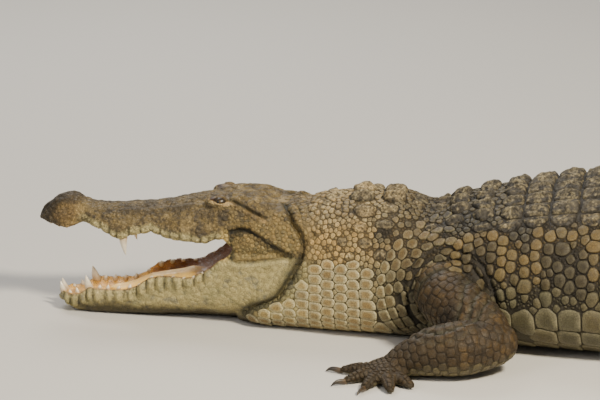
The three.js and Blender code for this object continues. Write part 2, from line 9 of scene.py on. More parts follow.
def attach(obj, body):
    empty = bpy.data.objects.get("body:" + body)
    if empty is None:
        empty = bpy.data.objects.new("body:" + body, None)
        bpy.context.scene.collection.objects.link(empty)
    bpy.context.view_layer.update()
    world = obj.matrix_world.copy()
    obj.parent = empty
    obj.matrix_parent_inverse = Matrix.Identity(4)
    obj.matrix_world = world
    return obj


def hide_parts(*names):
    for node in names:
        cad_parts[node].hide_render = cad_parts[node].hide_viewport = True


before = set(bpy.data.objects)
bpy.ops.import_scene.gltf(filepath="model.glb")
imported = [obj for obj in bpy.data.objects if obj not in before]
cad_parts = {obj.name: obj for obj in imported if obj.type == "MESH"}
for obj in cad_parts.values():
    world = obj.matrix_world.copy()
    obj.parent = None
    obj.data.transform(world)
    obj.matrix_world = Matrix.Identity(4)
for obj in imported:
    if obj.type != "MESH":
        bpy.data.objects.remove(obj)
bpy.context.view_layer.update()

# ---------------------------------------------------------------- sizes
# Lengths are in millimetres until a mesh is made. A station is the distance from the snout tip along
# the spine; up to the tail's bend it is also y. "Left" and positive x are the animal's left.

MM = 0.001
TOTAL_LENGTH = 3680
ORIGIN_STATION = 1300
MOUTH_CORNER = 440
JAW_PLANE = 167  # height at which skull and lower jaw meet, behind the corner of the mouth
SINK = 5  # how far the rough solids run below the floor
BODY_FROM = 440
HEAD_TO = 596

EYE_RADIUS = 13
EYE_SQUASH = np.array([1.0, 1.0, 0.76])
EYE_CENTRE = np.array([59.0, 402.0, 263.0])
BROW_SEMI_AXES = np.array([21.0, 33.0, 13.0])
BROW_OFFSET = np.array([-8.0, -1.0, -4.0])


def curve(*knots):
    """A smooth curve through its knots (station, value) that never overshoots them."""
    x, y = np.array(knots, float).T
    secant = np.diff(y) / np.diff(x)
    before, after = secant[:-1], secant[1:]
    same_way = before * after > 0
    total = np.where(same_way, before + after, 1.0)
    inner = np.where(same_way, 2 * before * after / total, 0.0)
    slope = np.r_[secant[0], inner, secant[-1]]

    def at(value):
        value = np.clip(value, x[0], x[-1])
        i = np.clip(np.searchsorted(x, value, side="right") - 1, 0, len(x) - 2)
        width = x[i + 1] - x[i]
        t = (value - x[i]) / width
        rise = y[i] * (1 + 2 * t) * (1 - t) ** 2 + y[i + 1] * t * t * (3 - 2 * t)
        return rise + width * (slope[i] * t * (1 - t) ** 2 - slope[i + 1] * t * t * (1 - t))

    return at


class BODY:
    """Outline of neck, trunk and tail: widest at the belt, with a power for the fullness of each half."""

    half_width = curve(
        (440, 84), (500, 126), (560, 137), (600, 146), (700, 174), (800, 192), (900, 214), (1050, 252),
        (1350, 288), (1600, 262), (1760, 214), (1900, 160), (2100, 131), (2400, 98), (2800, 64),
        (3200, 38), (3500, 20), (3680, 7),
    )
    top = curve(
        (440, 70), (500, 150), (550, 232), (600, 266), (650, 277), (700, 286), (780, 288), (845, 266),
        (930, 288), (1050, 312), (1210, 334), (1400, 345), (1600, 336), (1760, 311), (1900, 280),
        (2100, 240), (2400, 190), (2800, 136), (3200, 86), (3500, 48), (3680, 20),
    )
    belt = curve(
        (440, 40), (560, 84), (700, 106), (1000, 125), (1400, 138), (1900, 112), (2400, 84), (3680, 9)
    )
    top_power = curve((440, 2.2), (900, 2.3), (1400, 2.5), (1900, 2.2), (2400, 1.9), (3680, 1.8))
    bottom_power = curve(
        (440, 2.8), (600, 3.2), (900, 3.2), (1400, 3.4), (1900, 2.7), (2800, 2.5), (3680, 2.2)
    )


# The tail leaves the line of the trunk in one lazy bend to the left and back.
HEADING = curve((1850, 0), (2450, 0.3), (2900, 0.26), (3300, -0.02), (3680, -0.3))


class UPPER:
    """Skull and upper jaw: middle of the top, top edge, cheek, lip and palate."""

    top = curve(
        (0, 206), (9, 222), (26, 237), (47, 250), (69, 255), (86, 250), (112, 240), (135, 236), (198, 238),
        (241, 241), (284, 248), (327, 257), (365, 265), (407, 270), (440, 275), (475, 272), (500, 265),
        (521, 258), (560, 258), (596, 258),
    )
    edge_x = curve(
        (0, 8), (26, 20), (47, 27), (69, 30), (112, 26), (135, 29), (198, 41), (250, 43), (330, 48),
        (380, 46), (435, 58), (520, 75), (560, 84), (596, 88),
    )
    edge_z = curve(
        (0, 204), (26, 230), (47, 243), (69, 248), (112, 233), (135, 228), (198, 226), (250, 230),
        (330, 246), (380, 260), (435, 272), (475, 270), (521, 256), (560, 246), (596, 236),
    )
    cheek_x = curve(
        (0, 12), (12, 27), (30, 39), (64, 47), (86, 44), (106, 39), (135, 53), (190, 69), (250, 66),
        (330, 85), (400, 98), (450, 106), (520, 116), (560, 123), (586, 123), (596, 112),
    )
    cheek_z = curve(
        (0, 201), (40, 212), (69, 219), (106, 225), (135, 206), (190, 196), (250, 208), (330, 205),
        (420, 212), (596, 204),
    )
    lip_x = curve(
        (0, 10), (12, 23), (30, 35), (64, 44), (106, 37), (119, 44), (148, 58), (190, 68), (250, 63),
        (305, 79), (377, 93), (420, 98), (450, 104), (520, 114), (560, 121), (586, 121), (596, 110),
    )
    lip_z = curve(
        (0, 198), (30, 194), (64, 189), (84, 194), (104, 199), (119, 195), (148, 187), (186, 173),
        (208, 182), (245, 188), (253, 193), (262, 188), (305, 179), (377, 179), (392, 188),
        (412, 190), (426, 180), (440, 167.3), (596, 167.3),
    )
    palate_z = curve(
        (0, 200), (30, 202), (64, 205), (104, 212), (150, 205), (250, 203), (377, 200), (405, 196),
        (426, 184), (440, 167.3), (596, 167.3),
    )


class LOWER:
    """Lower jaw: floor of the mouth, row of the teeth, side, bottom edge and keel."""

    floor_z = curve(
        (44, 30), (60, 33), (115, 41), (170, 42), (230, 52), (300, 64), (360, 82), (405, 112), (428, 150),
        (440, 167), (596, 167),
    )
    row_x = curve(
        (44, 8), (52, 22), (64, 34), (90, 43), (115, 48), (200, 54), (250, 62), (300, 70), (350, 80),
        (400, 90), (440, 98), (520, 112), (560, 119), (586, 119), (596, 106),
    )
    row_z = curve(
        (44, 34), (56, 42), (68, 37), (92, 42), (115, 57), (135, 55), (190, 57), (222, 70), (249, 89),
        (293, 96), (332, 96), (357, 107), (386, 125), (404, 142), (420, 149), (440, 167), (596, 167),
    )
    side_x = curve(
        (44, 11), (52, 26), (64, 39), (90, 48), (115, 53), (200, 60), (250, 68), (300, 76), (350, 86),
        (400, 96), (450, 106), (520, 116), (560, 123), (586, 124), (596, 112),
    )
    side_z = curve(
        (44, 29), (70, 25), (115, 30), (200, 34), (250, 50), (320, 62), (400, 92), (480, 104), (560, 128),
        (596, 140),
    )
    edge_x = curve(
        (44, 8), (64, 31), (90, 41), (115, 46), (200, 54), (250, 60), (350, 76), (450, 94), (520, 104),
        (596, 110),
    )
    edge_z = curve(
        (44, 24), (64, 14), (90, 6), (115, 6), (200, 9), (250, 13), (315, 24), (360, 32), (450, 38),
        (500, 46), (540, 70), (596, 110),
    )
    keel_z = curve((44, 22), (60, 8), (80, -2), (140, -SINK), (596, -SINK))


# ---------------------------------------------------------------- the spine

SPINE_STEP = 5
_steps = np.arange(0, TOTAL_LENGTH, SPINE_STEP)
_turns = HEADING(_steps + SPINE_STEP / 2)
SPINE = np.vstack([(0, 0), np.cumsum(np.c_[np.sin(_turns), np.cos(_turns)] * SPINE_STEP, axis=0)])


def spine_point(station):
    """x and y of the spine at each station."""
    known = np.arange(len(SPINE)) * SPINE_STEP
    return np.stack([np.interp(station, known, SPINE[:, 0]), np.interp(station, known, SPINE[:, 1])], -1)


def beside(station, x, z):
    """Points x to the left of the spine and z above the floor."""
    station, x, z = np.broadcast_arrays(*(np.asarray(v, float) for v in (station, x, z)))
    heading = HEADING(station)
    on = spine_point(station)
    return np.stack([on[..., 0] + np.cos(heading) * x, on[..., 1] - np.sin(heading) * x, z], -1)


def along_spine(points):
    """The station of each point, and how far it stands to the left of the spine."""
    station = points[:, 1].copy()
    for _ in range(5):
        heading = HEADING(station)
        gap = points[:, :2] - spine_point(station)
        station = station + gap[:, 0] * np.sin(heading) + gap[:, 1] * np.cos(heading)
    heading = HEADING(station)
    gap = points[:, :2] - spine_point(station)
    return station, gap[:, 0] * np.cos(heading) - gap[:, 1] * np.sin(heading)


def signed_power(value, power):
    return np.sign(value) * np.abs(value) ** power


def body_section(station, angle, coat=0.0):
    """x and z round the body: angle 0 is the middle of the back, a quarter turn the left side."""
    upper = np.cos(angle) >= 0
    power = 2 / np.where(upper, BODY.top_power(station), BODY.bottom_power(station))
    belt = BODY.belt(station)
    reach = np.where(upper, BODY.top(station) - belt, belt + SINK)
    x = (BODY.half_width(station) - coat) * signed_power(np.sin(angle), power)
    z = belt + (reach - coat) * signed_power(np.cos(angle), power)
    return x, z


# ---------------------------------------------------------------- rough solids of the flesh


SAME_POINT = 1e-2


def norm(vectors):
    return np.linalg.norm(vectors, axis=-1, keepdims=True)


def unit(vectors):
    return vectors / np.maximum(norm(vectors), 1e-9)


def catmull(points, closed, samples):
    """A centripetal Catmull-Rom curve through points[..., i, :], at an even step of its parameter."""
    count = points.shape[-2]
    spans = count if closed else count - 1
    at = np.arange(samples) / samples * spans if closed else np.linspace(0, spans, samples)
    i = np.minimum(at.astype(int), spans - 1)
    t = (at - i)[:, None]
    if closed:
        padded = np.concatenate([points[..., -1:, :], points, points[..., :2, :]], -2)
    else:
        before = 2 * points[..., :1, :] - points[..., 1:2, :]
        after = 2 * points[..., -1:, :] - points[..., -2:-1, :]
        padded = np.concatenate([before, points, after], -2)
    p0, p1, p2, p3 = (padded[..., i + k, :] for k in range(4))
    before, own, after = (norm(b - a) ** 0.5 for a, b in ((p0, p1), (p1, p2), (p2, p3)))
    d1 = np.maximum(own, SAME_POINT)
    d0 = np.where(before < SAME_POINT, d1, before)
    d2 = np.where(after < SAME_POINT, d1, after)
    m1 = ((p1 - p0) / d0 - (p2 - p0) / (d0 + d1) + (p2 - p1) / d1) * d1
    m2 = ((p2 - p1) / d1 - (p3 - p1) / (d1 + d2) + (p3 - p2) / d2) * d1
    a = 2 * p1 - 2 * p2 + m1 + m2
    b = -3 * p1 + 3 * p2 - 2 * m1 - m2
    return p1 + t * (m1 + t * (b + t * a))


def loft(rings):
    """Vertices and faces of a closed surface through rings of points."""
    count, sides = rings.shape[:2]
    k = np.arange(sides)
    after = (k + 1) % sides
    faces = []
    for i in range(count - 1):
        a = i * sides
        faces += np.c_[a + k, a + after, a + sides + after, a + sides + k].tolist()
    faces.append(k[::-1].tolist())
    faces.append(((count - 1) * sides + k).tolist())
    return rings.reshape(-1, 3), faces


def ball(centre, semi_axes, steps=24):
    """An ellipsoid as a loft along y."""
    turn = np.linspace(0.02, np.pi - 0.02, steps)
    round_it = np.linspace(0, 2 * np.pi, steps, endpoint=False)
    x = np.sin(turn)[:, None] * np.cos(round_it)
    z = np.sin(turn)[:, None] * np.sin(round_it)
    y = np.repeat(-np.cos(turn)[:, None], steps, 1)
    return loft(np.stack([x, y, z], -1) * semi_axes + centre)


SKIN = {"back": 11.0, "flank": 2.5, "limb": 2.5}  # how deep the skin lies under the tips of the scales


def coat_depth(station, angle):
    """Depth of the skin under the outline: full on the back, none on the head, little at the tail's end."""
    back = np.clip(1.25 - np.abs(angle) / 1.05, 0, 1)
    bare = np.clip((station - 620) / 100, 0, 1) * np.clip((3500 - station) / 900, 0.12, 1)
    return (SKIN["flank"] + (SKIN["back"] - SKIN["flank"]) * back) * bare


def body_loft(step, sides):
    station = np.r_[np.arange(BODY_FROM, TOTAL_LENGTH, step), TOTAL_LENGTH][:, None]
    angle = (2 * np.pi * np.arange(sides) / sides)[None]
    turned = (angle + np.pi) % (2 * np.pi) - np.pi
    x, z = body_section(station, angle, coat_depth(station, turned))
    return loft(beside(np.broadcast_to(station, x.shape), x, z))


LIP_INNER, GUM_INNER, CUT_INNER = 0.76, 0.72, 0.62  # inner edges, as shares of the lip or row
LIP_RISE = 5
JAW_OVERLAP = 8  # skull and lower jaw run this far into each other behind the mouth


def upper_half(y):
    """Half section of the skull and upper jaw, from the middle of the top to the palate."""
    lip_x, lip_z = UPPER.lip_x(y), UPPER.lip_z(y)
    behind = y > MOUTH_CORNER
    inner_x = lip_x * np.where(behind, CUT_INNER, LIP_INNER)
    inner_z = np.where(behind, lip_z, lip_z + LIP_RISE)
    x = [0 * y, UPPER.edge_x(y), UPPER.cheek_x(y), lip_x, inner_x, 0 * y]
    z = [UPPER.top(y), UPPER.edge_z(y), UPPER.cheek_z(y), lip_z, inner_z, UPPER.palate_z(y)]
    return np.stack([np.stack(x, -1), np.stack(z, -1)], -1)


def lower_half(y):
    row_x, row_z = LOWER.row_x(y), LOWER.row_z(y)
    floor_z = LOWER.floor_z(y)
    behind = y > MOUTH_CORNER
    inner_x = row_x * np.where(behind, CUT_INNER, GUM_INNER)
    inner_z = np.where(behind, row_z, (row_z + floor_z) / 2)
    x = [0 * y, inner_x, row_x, LOWER.side_x(y), LOWER.edge_x(y), 0 * y]
    z = [floor_z, inner_z, row_z, LOWER.side_z(y), LOWER.edge_z(y), LOWER.keel_z(y)]
    return np.stack([np.stack(x, -1), np.stack(z, -1)], -1)


def head_rings(half, y, samples):
    """Closed rings through half sections, mirrored about the middle plane."""
    mirrored = half[:, -2:0:-1] * (-1, 1)
    ring = catmull(np.concatenate([half, mirrored], 1), True, samples)
    return np.stack([ring[..., 0], np.broadcast_to(y[:, None], ring.shape[:2]), ring[..., 1]], -1)


def upper_loft(step, samples):
    y = np.r_[np.arange(0.5, HEAD_TO, step), HEAD_TO]
    rings = head_rings(upper_half(y), y, samples)
    rings[..., 2] = np.maximum(rings[..., 2], JAW_PLANE - JAW_OVERLAP)
    return loft(rings)


def lower_loft(step, samples):
    y = np.r_[np.arange(44.5, HEAD_TO, step), HEAD_TO]
    rings = head_rings(lower_half(y), y, samples)
    rings[..., 2] = np.minimum(rings[..., 2], JAW_PLANE + JAW_OVERLAP)
    return loft(rings)


def limb_path(marks, samples):
    """Centres, half widths, half heights and the way ahead along a limb's marks."""
    marks = np.array(marks, float)
    centres = catmull(marks[:, :3], False, samples)
    share = np.linspace(0, 1, samples)
    known = np.linspace(0, 1, len(marks))
    wide = curve(*zip(known, marks[:, 3]))(share)
    high = curve(*zip(known, marks[:, 4]))(share)
    ahead = np.gradient(centres, axis=0)
    ahead /= norm(ahead)
    across = np.cross((0, 0, 1), ahead)
    across /= norm(across)
    upward = np.cross(ahead, across)
    return centres, wide, high, ahead, across, upward


def limb_loft(marks, samples, sides, coat):
    centres, wide, high, _, across, upward = limb_path(marks, samples)
    turn = 2 * np.pi * np.arange(sides) / sides
    out = (wide - coat)[:, None, None] * across[:, None] * np.cos(turn)[None, :, None]
    rise = (high - coat)[:, None, None] * upward[:, None] * np.sin(turn)[None, :, None]
    return loft(centres[:, None] + out + rise)


# The left legs: a section is [x, y, z, half width, half height], a digit [degrees from straight ahead,
# length, 1 where it has a claw], a digit's section [share of its length, half width, half height].
FORE = {
    "upper": [
        [150, 885, 132, 70, 72], [226, 908, 118, 66, 66], [290, 962, 98, 61, 58], [340, 1008, 64, 54, 50],
    ],
    "lower": [
        [340, 1008, 66, 56, 52], [378, 950, 62, 60, 57], [383, 890, 54, 56, 52], [384, 838, 36, 47, 37],
        [390, 808, 24, 43, 25],
    ],
    "palm": [[390, 826, 24, 34, 20], [400, 800, 19, 48, 21], [408, 772, 15, 44, 17]],
    "heel": (405, 795),
    "digits": [[-10, 96, 1], [36, 94, 1], [72, 102, 1], [103, 112, 0], [132, 98, 0]],
    "radius": 14,
    "webbed": False,
}
HIND = {
    "upper": [
        [105, 1760, 158, 84, 88], [215, 1706, 142, 84, 82], [312, 1640, 108, 72, 68], [368, 1606, 74, 60, 56],
    ],
    "lower": [
        [368, 1606, 74, 60, 56], [404, 1660, 60, 60, 52], [436, 1745, 48, 50, 44], [452, 1806, 32, 42, 32],
        [456, 1830, 26, 40, 26],
    ],
    "palm": [
        [456, 1826, 24, 30, 20], [480, 1824, 24, 46, 24], [508, 1800, 19, 54, 19], [532, 1772, 14, 52, 15],
    ],
    "heel": (486, 1822),
    "digits": [[18, 150, 1], [38, 178, 1], [58, 186, 1], [80, 162, 0]],
    "radius": 15,
    "webbed": True,
}
RIGHT_ARM_BACK = 26
RIGHT_LEG_BACK = 38
DIGIT_SECTIONS = ((0.3, 1, 1.15, 1.15), (0.58, 0.95, 1.05, 1), (0.8, 0.72, 0.86, 0.8), (1, 0.5, 0.6, 0.55))
CLAW_SECTIONS = ((1.6, 0, 5.95, 5.95), (15, 1.5, 4.3, 4.9))
CLAW_POINT = (30, 2.2, 1.2)
WEB_THICKNESS = 6

# Plan, side and how far back each leg stands.
LEGS = {
    "arm_left": (FORE, 1, 0),
    "arm_right": (FORE, -1, RIGHT_ARM_BACK),
    "leg_left": (HIND, 1, 0),
    "leg_right": (HIND, -1, RIGHT_LEG_BACK),
}


def placed(marks, side, shift):
    return [[side * m[0], m[1] + shift, *m[2:]] for m in marks]


def digit_marks(plan, side, shift, digit):
    angle = np.radians(digit[0])
    heel_x, heel_y = plan["heel"]
    marks = []
    for share, *sizes in DIGIT_SECTIONS:
        x = side * (heel_x + np.sin(angle) * digit[1] * share)
        y = heel_y + shift - np.cos(angle) * digit[1] * share
        marks.append([x, y, *(size * plan["radius"] for size in sizes)])
    return marks


def web_solid(plan, side, shift):
    """One thin fan of skin between the toes."""
    toes = [digit_marks(plan, side, shift, digit) for digit in plan["digits"]]
    rim = [(side * plan["heel"][0], plan["heel"][1] + shift)]
    for i, toe in enumerate(toes):
        if i:
            rim.append(((toe[1][0] + toes[i - 1][1][0]) / 2, (toe[1][1] + toes[i - 1][1][1]) / 2))
        rim.append((toe[2][0], toe[2][1]))
    rim = np.array(rim)
    low = np.c_[rim, np.full(len(rim), -SINK)]
    high = np.c_[rim, np.full(len(rim), WEB_THICKNESS)]
    high[0, 2] = 2 * WEB_THICKNESS
    return loft(np.stack([low, high]))


def leg_solids(plan, side, shift):
    """Both segments of a limb with a ball at the joint between them, palm, digits and web."""
    coat = SKIN["limb"]
    upper = placed(plan["upper"], side, shift)
    lower = placed(plan["lower"], side, shift)
    x, y, z, wide, high = upper[-1]
    solids = [
        limb_loft(upper, samples=30, sides=40, coat=coat),
        ball(np.array([x, y, z]), np.array([wide, wide, high]) - coat),
        limb_loft(lower, samples=40, sides=40, coat=coat),
        limb_loft(placed(plan["palm"], side, shift), samples=16, sides=32, coat=coat / 2),
    ]
    for digit in plan["digits"]:
        solids.append(limb_loft(digit_marks(plan, side, shift, digit), samples=24, sides=20, coat=coat / 3))
    if plan["webbed"]:
        solids.append(web_solid(plan, side, shift))
    return solids


# ---------------------------------------------------------------- one skin

VOXEL = 5.2  # of the remesh on the body, and a share of it on the head
HEAD_FINER = 2.1
FINER_FROM, FINER_TO = 720, 600  # stations between which the head's finer step sets in

WARP_STEP = 2.0

_warp_y = np.arange(-100, TOTAL_LENGTH + 1400, WARP_STEP)
_share = np.clip((FINER_FROM - _warp_y) / (FINER_FROM - FINER_TO), 0, 1)
_stretch = 1 + (HEAD_FINER - 1) * _share * _share * (3 - 2 * _share)
_warped_y = np.r_[0, np.cumsum((_stretch[1:] + _stretch[:-1]) / 2 * WARP_STEP)]


def enlarge_head(points):
    """Blows the head up, so that an even remesh comes out finer there."""
    scale = np.interp(points[:, 1], _warp_y, _stretch)
    return np.c_[points[:, 0] * scale, np.interp(points[:, 1], _warp_y, _warped_y), points[:, 2] * scale]


def shrink_head(points):
    y = np.interp(points[:, 1], _warped_y, _warp_y)
    scale = np.interp(y, _warp_y, _stretch)
    return np.c_[points[:, 0] / scale, y, points[:, 2] / scale]


def in_scene(name, data):
    made = bpy.data.objects.new(name, data)
    bpy.context.scene.collection.objects.link(made)
    return made


def eye_centre(side):
    return EYE_CENTRE * (side, 1, 1)


def joined(solids):
    """Points and faces of several solids as one."""
    points, faces, start = [], [], 0
    for verts, polygons in solids:
        points.append(verts)
        faces += [[index + start for index in polygon] for polygon in polygons]
        start += len(verts)
    return np.vstack(points), faces


def remeshed(points, faces, voxel):
    """The outer surface of overlapping solids, as an even mesh of quads."""
    mesh = bpy.data.meshes.new("rough")
    mesh.from_pydata(points.tolist(), [], faces)
    rough = in_scene("rough", mesh)
    modifier = rough.modifiers.new("remesh", "REMESH")
    modifier.mode = "VOXEL"
    modifier.voxel_size = voxel
    depsgraph = bpy.context.evaluated_depsgraph_get()
    result = rough.evaluated_get(depsgraph).to_mesh()
    verts = np.empty(len(result.vertices) * 3)
    result.vertices.foreach_get("co", verts)
    corners = np.empty(len(result.loops), int)
    result.loops.foreach_get("vertex_index", corners)
    bpy.data.objects.remove(rough)
    return verts.reshape(-1, 3), corners.reshape(-1, 4)


def edges_of(quads):
    pairs = np.concatenate([quads[:, [k, (k + 1) % 4]] for k in range(4)])
    return np.unique(np.sort(pairs, 1), axis=0)


def smoothed(points, edges, rounds, amount):
    """Moves each vertex towards the mean of its neighbours by an amount, or by an amount of its own."""
    count = len(points)
    a, b = edges.T
    degree = np.bincount(a, minlength=count) + np.bincount(b, minlength=count)
    degree = np.maximum(degree, 1)
    amount = np.broadcast_to(amount, count)[:, None]
    for _ in range(rounds):
        mean = np.empty_like(points)
        for axis in range(3):
            to_a = np.bincount(a, points[b, axis], count)
            to_b = np.bincount(b, points[a, axis], count)
            mean[:, axis] = (to_a + to_b) / degree
        points = points + amount * (mean - points)
    return points


# ---------------------------------------------------------------- noise


def hashed(ix, iy, iz, seed):
    """A repeatable number from 0 to 1 at each whole point of a grid."""
    mixed = (ix * 374761393 + iy * 668265263 + iz * 2147483647 + seed * 1274126177) & 0xFFFFFFFF
    mixed = ((mixed ^ (mixed >> 13)) * 1103515245) & 0xFFFFFFFF
    mixed = ((mixed ^ (mixed >> 16)) * 2654435761) & 0xFFFFFFFF
    return (mixed ^ (mixed >> 15)) / 4294967295.0


def noise(points, size, seed=0):
    """Smooth noise from -1 to 1 with bumps about the given size in mm."""
    at = np.asarray(points) / size
    cell = np.floor(at).astype(np.int64)
    t = at - cell
    t = t * t * (3 - 2 * t)
    total = 0
    for corner in range(8):
        dx, dy, dz = corner & 1, corner >> 1 & 1, corner >> 2
        weight = np.abs(1 - dx - t[..., 0]) * np.abs(1 - dy - t[..., 1]) * np.abs(1 - dz - t[..., 2])
        total = total + weight * hashed(cell[..., 0] + dx, cell[..., 1] + dy, cell[..., 2] + dz, seed)
    return 2 * total - 1


def fractal(points, size, seed=0, octaves=3):
    return sum(noise(points, size / 2**k, seed + k) * 0.55**k for k in range(octaves))


def smooth_step(value, low, high):
    t = np.clip((value - low) / (high - low), 0, 1)
    return t * t * (3 - 2 * t)


# ---------------------------------------------------------------- folds, ridges and lids
# Paths run through (x, y, z) on the left side and count for both sides.


def path_distance(points, path):
    """Distance of each point from a line of straight pieces, and its share of the way along."""
    path = np.array(path, float)
    lengths = np.linalg.norm(np.diff(path, axis=0), axis=1)
    starts = np.r_[0, np.cumsum(lengths)]
    best = np.full(len(points), 1e9)
    share = np.zeros(len(points))
    for a, b, start, length in zip(path[:-1], path[1:], starts, lengths):
        t = np.clip((points - a) @ (b - a) / max(length * length, 1e-9), 0, 1)
        gap = np.linalg.norm(points - a - t[:, None] * (b - a), axis=1)
        nearer = gap < best
        best[nearer] = gap[nearer]
        share[nearer] = (start + t[nearer] * length) / max(starts[-1], 1e-9)
    return best, share


def moved(path, x=0, y=0, z=0):
    return [(a + x, b + y, c + z) for a, b, c in path]


EAR = [(62, 416, 271), (62, 424, 267), (71, 446, 260), (86, 470, 252), (97, 503, 241)]
GAPE = [
    (102, 429, 209), (101, 450, 214), (104, 472, 213), (108, 494, 201), (113, 516, 189), (120, 538, 178),
    (122, 560, 166),
]
CHEEK_LINE = [(100, 428, 149), (106, 442, 143), (112, 484, 148), (119, 538, 159), (122, 562, 165)]
CORNER_LINE = [(101, 432, 205), (101, 431, 180), (99, 430, 152)]
NECK_FOLD = [
    (40, 536, 258), (83, 554, 247), (105, 564, 231), (116, 580, 217), (120, 587, 200), (125, 590, 176),
    (131, 578, 152), (134, 564, 124), (134, 548, 98), (132, 532, 74), (128, 508, 62), (112, 474, 46),
    (98, 455, 30),
]
FOLD_FAN = [[(127, 584, 172), (136, 572 + k, 120), (137, 556 + 2 * k, 66)] for k in (6, 16, 27)]
BROW_RIDGE = [(58, 374, 262), (47, 330, 250), (41, 280, 240), (38, 230, 231), (36, 180, 229)]
TABLE_EDGE = [(56, 436, 277), (70, 470, 272), (80, 512, 258)]
NOSTRIL = [(5, 63, 255), (12, 59, 254), (16.5, 51, 252), (15, 43, 248)]
SNOUT_CREASE = [(14, 92, 246), (30, 98, 236), (38, 104, 226)]
CHEEK_CREASE = [(60, 250, 212), (72, 300, 214), (84, 345, 218), (88, 385, 226)]

# Stations of the bumps over the roots of the teeth, and of the grooves between them.
UPPER_BUMPS = (128, 152, 170, 192, 213, 242, 262, 284, 308, 328, 354, 374, 389, 402)
UPPER_GROOVES = (140, 161, 178, 205, 230, 256, 273, 296, 317, 344, 364, 382, 396)
FRONT_BUMPS = (28, 45, 62, 78)
LOWER_BUMPS = (46, 62, 79, 99, 114, 131, 158, 178, 204, 230, 250, 269, 289, 310, 335, 357, 378)
LOWER_GROOVES = (54, 70, 90, 107, 122, 149, 167, 190, 218, 240, 260, 281, 298, 322, 347, 368)


def head_features():
    """Each feature: a path, a height (a groove where negative) and a half width."""
    rows = [
        (EAR, -8, 3.2), (moved(EAR, z=7), 2.8, 5), (moved(EAR, x=3, z=-8), 3, 4.5),
        (GAPE, -13, 5), (moved(GAPE, z=10), 4.5, 6), (moved(GAPE, z=-12), -4, 8),
        (moved(GAPE, y=14, z=-17), -1.6, 3), (CHEEK_LINE, -4, 2.8), (moved(CHEEK_LINE, z=-10), 3, 6),
        (CORNER_LINE, -3.5, 2.4), (moved(CORNER_LINE, y=-9), 1.6, 5),
        (NECK_FOLD, -13, 5), (moved(NECK_FOLD[:7], y=15), 5, 8), (moved(NECK_FOLD[:7], y=27), -4, 3.2),
        (moved(NECK_FOLD[:7], y=37), 2, 5), (moved(NECK_FOLD[:7], y=47), -3.4, 3),
        (moved(NECK_FOLD[:7], y=66), -2.6, 3), (moved(NECK_FOLD[:7], y=86), -2, 3.4),
        (moved(NECK_FOLD, y=-12), 3.6, 7),
        (BROW_RIDGE, 3.2, 6.5), (moved(BROW_RIDGE, x=-17), -2.2, 9), (TABLE_EDGE, 2.6, 5),
        (NOSTRIL, -6, 2.2), (moved(NOSTRIL, x=3.4, y=-3), 1.8, 3), (moved(NOSTRIL, x=-4, y=2), 1.4, 3),
        (SNOUT_CREASE, -3, 3.5), (CHEEK_CREASE, -2.2, 5), (moved(CHEEK_CREASE, z=-14), 2, 7),
        *((line, -5, 2.6) for line in FOLD_FAN), *((moved(line, y=6), 2.4, 3) for line in FOLD_FAN),
        ([(0, 385, 272), (0, 425, 275)], -4, 15), ([(33, 450, 276), (36, 474, 273)], -4, 9),
        ([(0, 470, 274), (0, 520, 262)], -2, 12), ([(110, 548, 140), (116, 560, 146)], -3, 4),
    ]
    for y in UPPER_BUMPS:
        low = (UPPER.lip_x(y) + 1, y, UPPER.lip_z(y) + 5)
        high = (0.5 * (UPPER.lip_x(y) + UPPER.cheek_x(y)) + 1, y, UPPER.lip_z(y) + 11)
        rows.append(([low, high], 4, 7))
    for y in FRONT_BUMPS:
        rows.append(([(UPPER.lip_x(y) + 1, y, UPPER.lip_z(y) + 5)], 2.4, 7))
    for y in UPPER_GROOVES:
        low = (UPPER.lip_x(y), y, UPPER.lip_z(y) - 2)
        high = (UPPER.cheek_x(y), y + 2, UPPER.lip_z(y) + 15)
        rows.append(([low, high], -3.6, 2.3))
    for y in LOWER_BUMPS:
        deep = 17 + 9 * (y < 320)
        top = (LOWER.row_x(y) + 2, y, LOWER.row_z(y) - 5)
        foot = (LOWER.side_x(y), y + 1, LOWER.row_z(y) - deep)
        rows.append(([top, foot], 6, 5.6))
    for y in LOWER_GROOVES:
        top = (LOWER.row_x(y), y, LOWER.row_z(y) + 2)
        foot = (LOWER.side_x(y), y + 1, LOWER.row_z(y) - 28)
        rows.append(([top, foot], -4, 2.2))
    return rows


def head_relief(points):
    """How far the features of the head and neck lift each point."""
    waver = np.stack([noise(points, 30, 11), noise(points, 30, 12), noise(points, 30, 13)], -1)
    left = points + 1.6 * waver
    left[:, 0] = np.abs(left[:, 0])
    lift = np.zeros(len(points))
    for path, height, width in head_features():
        path = np.array(path, float)
        reach = 2.6 * width
        low, high = path.min(0) - reach, path.max(0) + reach
        near = np.flatnonzero(((left > low) & (left < high)).all(1))
        if not len(near):
            continue
        if len(path) == 1:
            gap, fade = np.linalg.norm(left[near] - path[0], axis=1), 1.0
        else:
            gap, share = path_distance(left[near], path)
            fade = np.clip(np.minimum(share, 1 - share) * 6 + 0.35, 0, 1)
        lift[near] += height * fade * np.exp(-((gap / width) ** 2))
    return lift


def upper_weight(points):
    """1 on the skull and upper jaw, 0 on the lower jaw and behind the head, by height and station."""
    y = points[:, 1]
    split = np.where(y < MOUTH_CORNER, (LOWER.row_z(y) + UPPER.lip_z(y)) / 2, JAW_PLANE)
    ahead = 1 - smooth_step(y, 505, 540)
    return smooth_step(points[:, 2] - split, -6, 6) * ahead


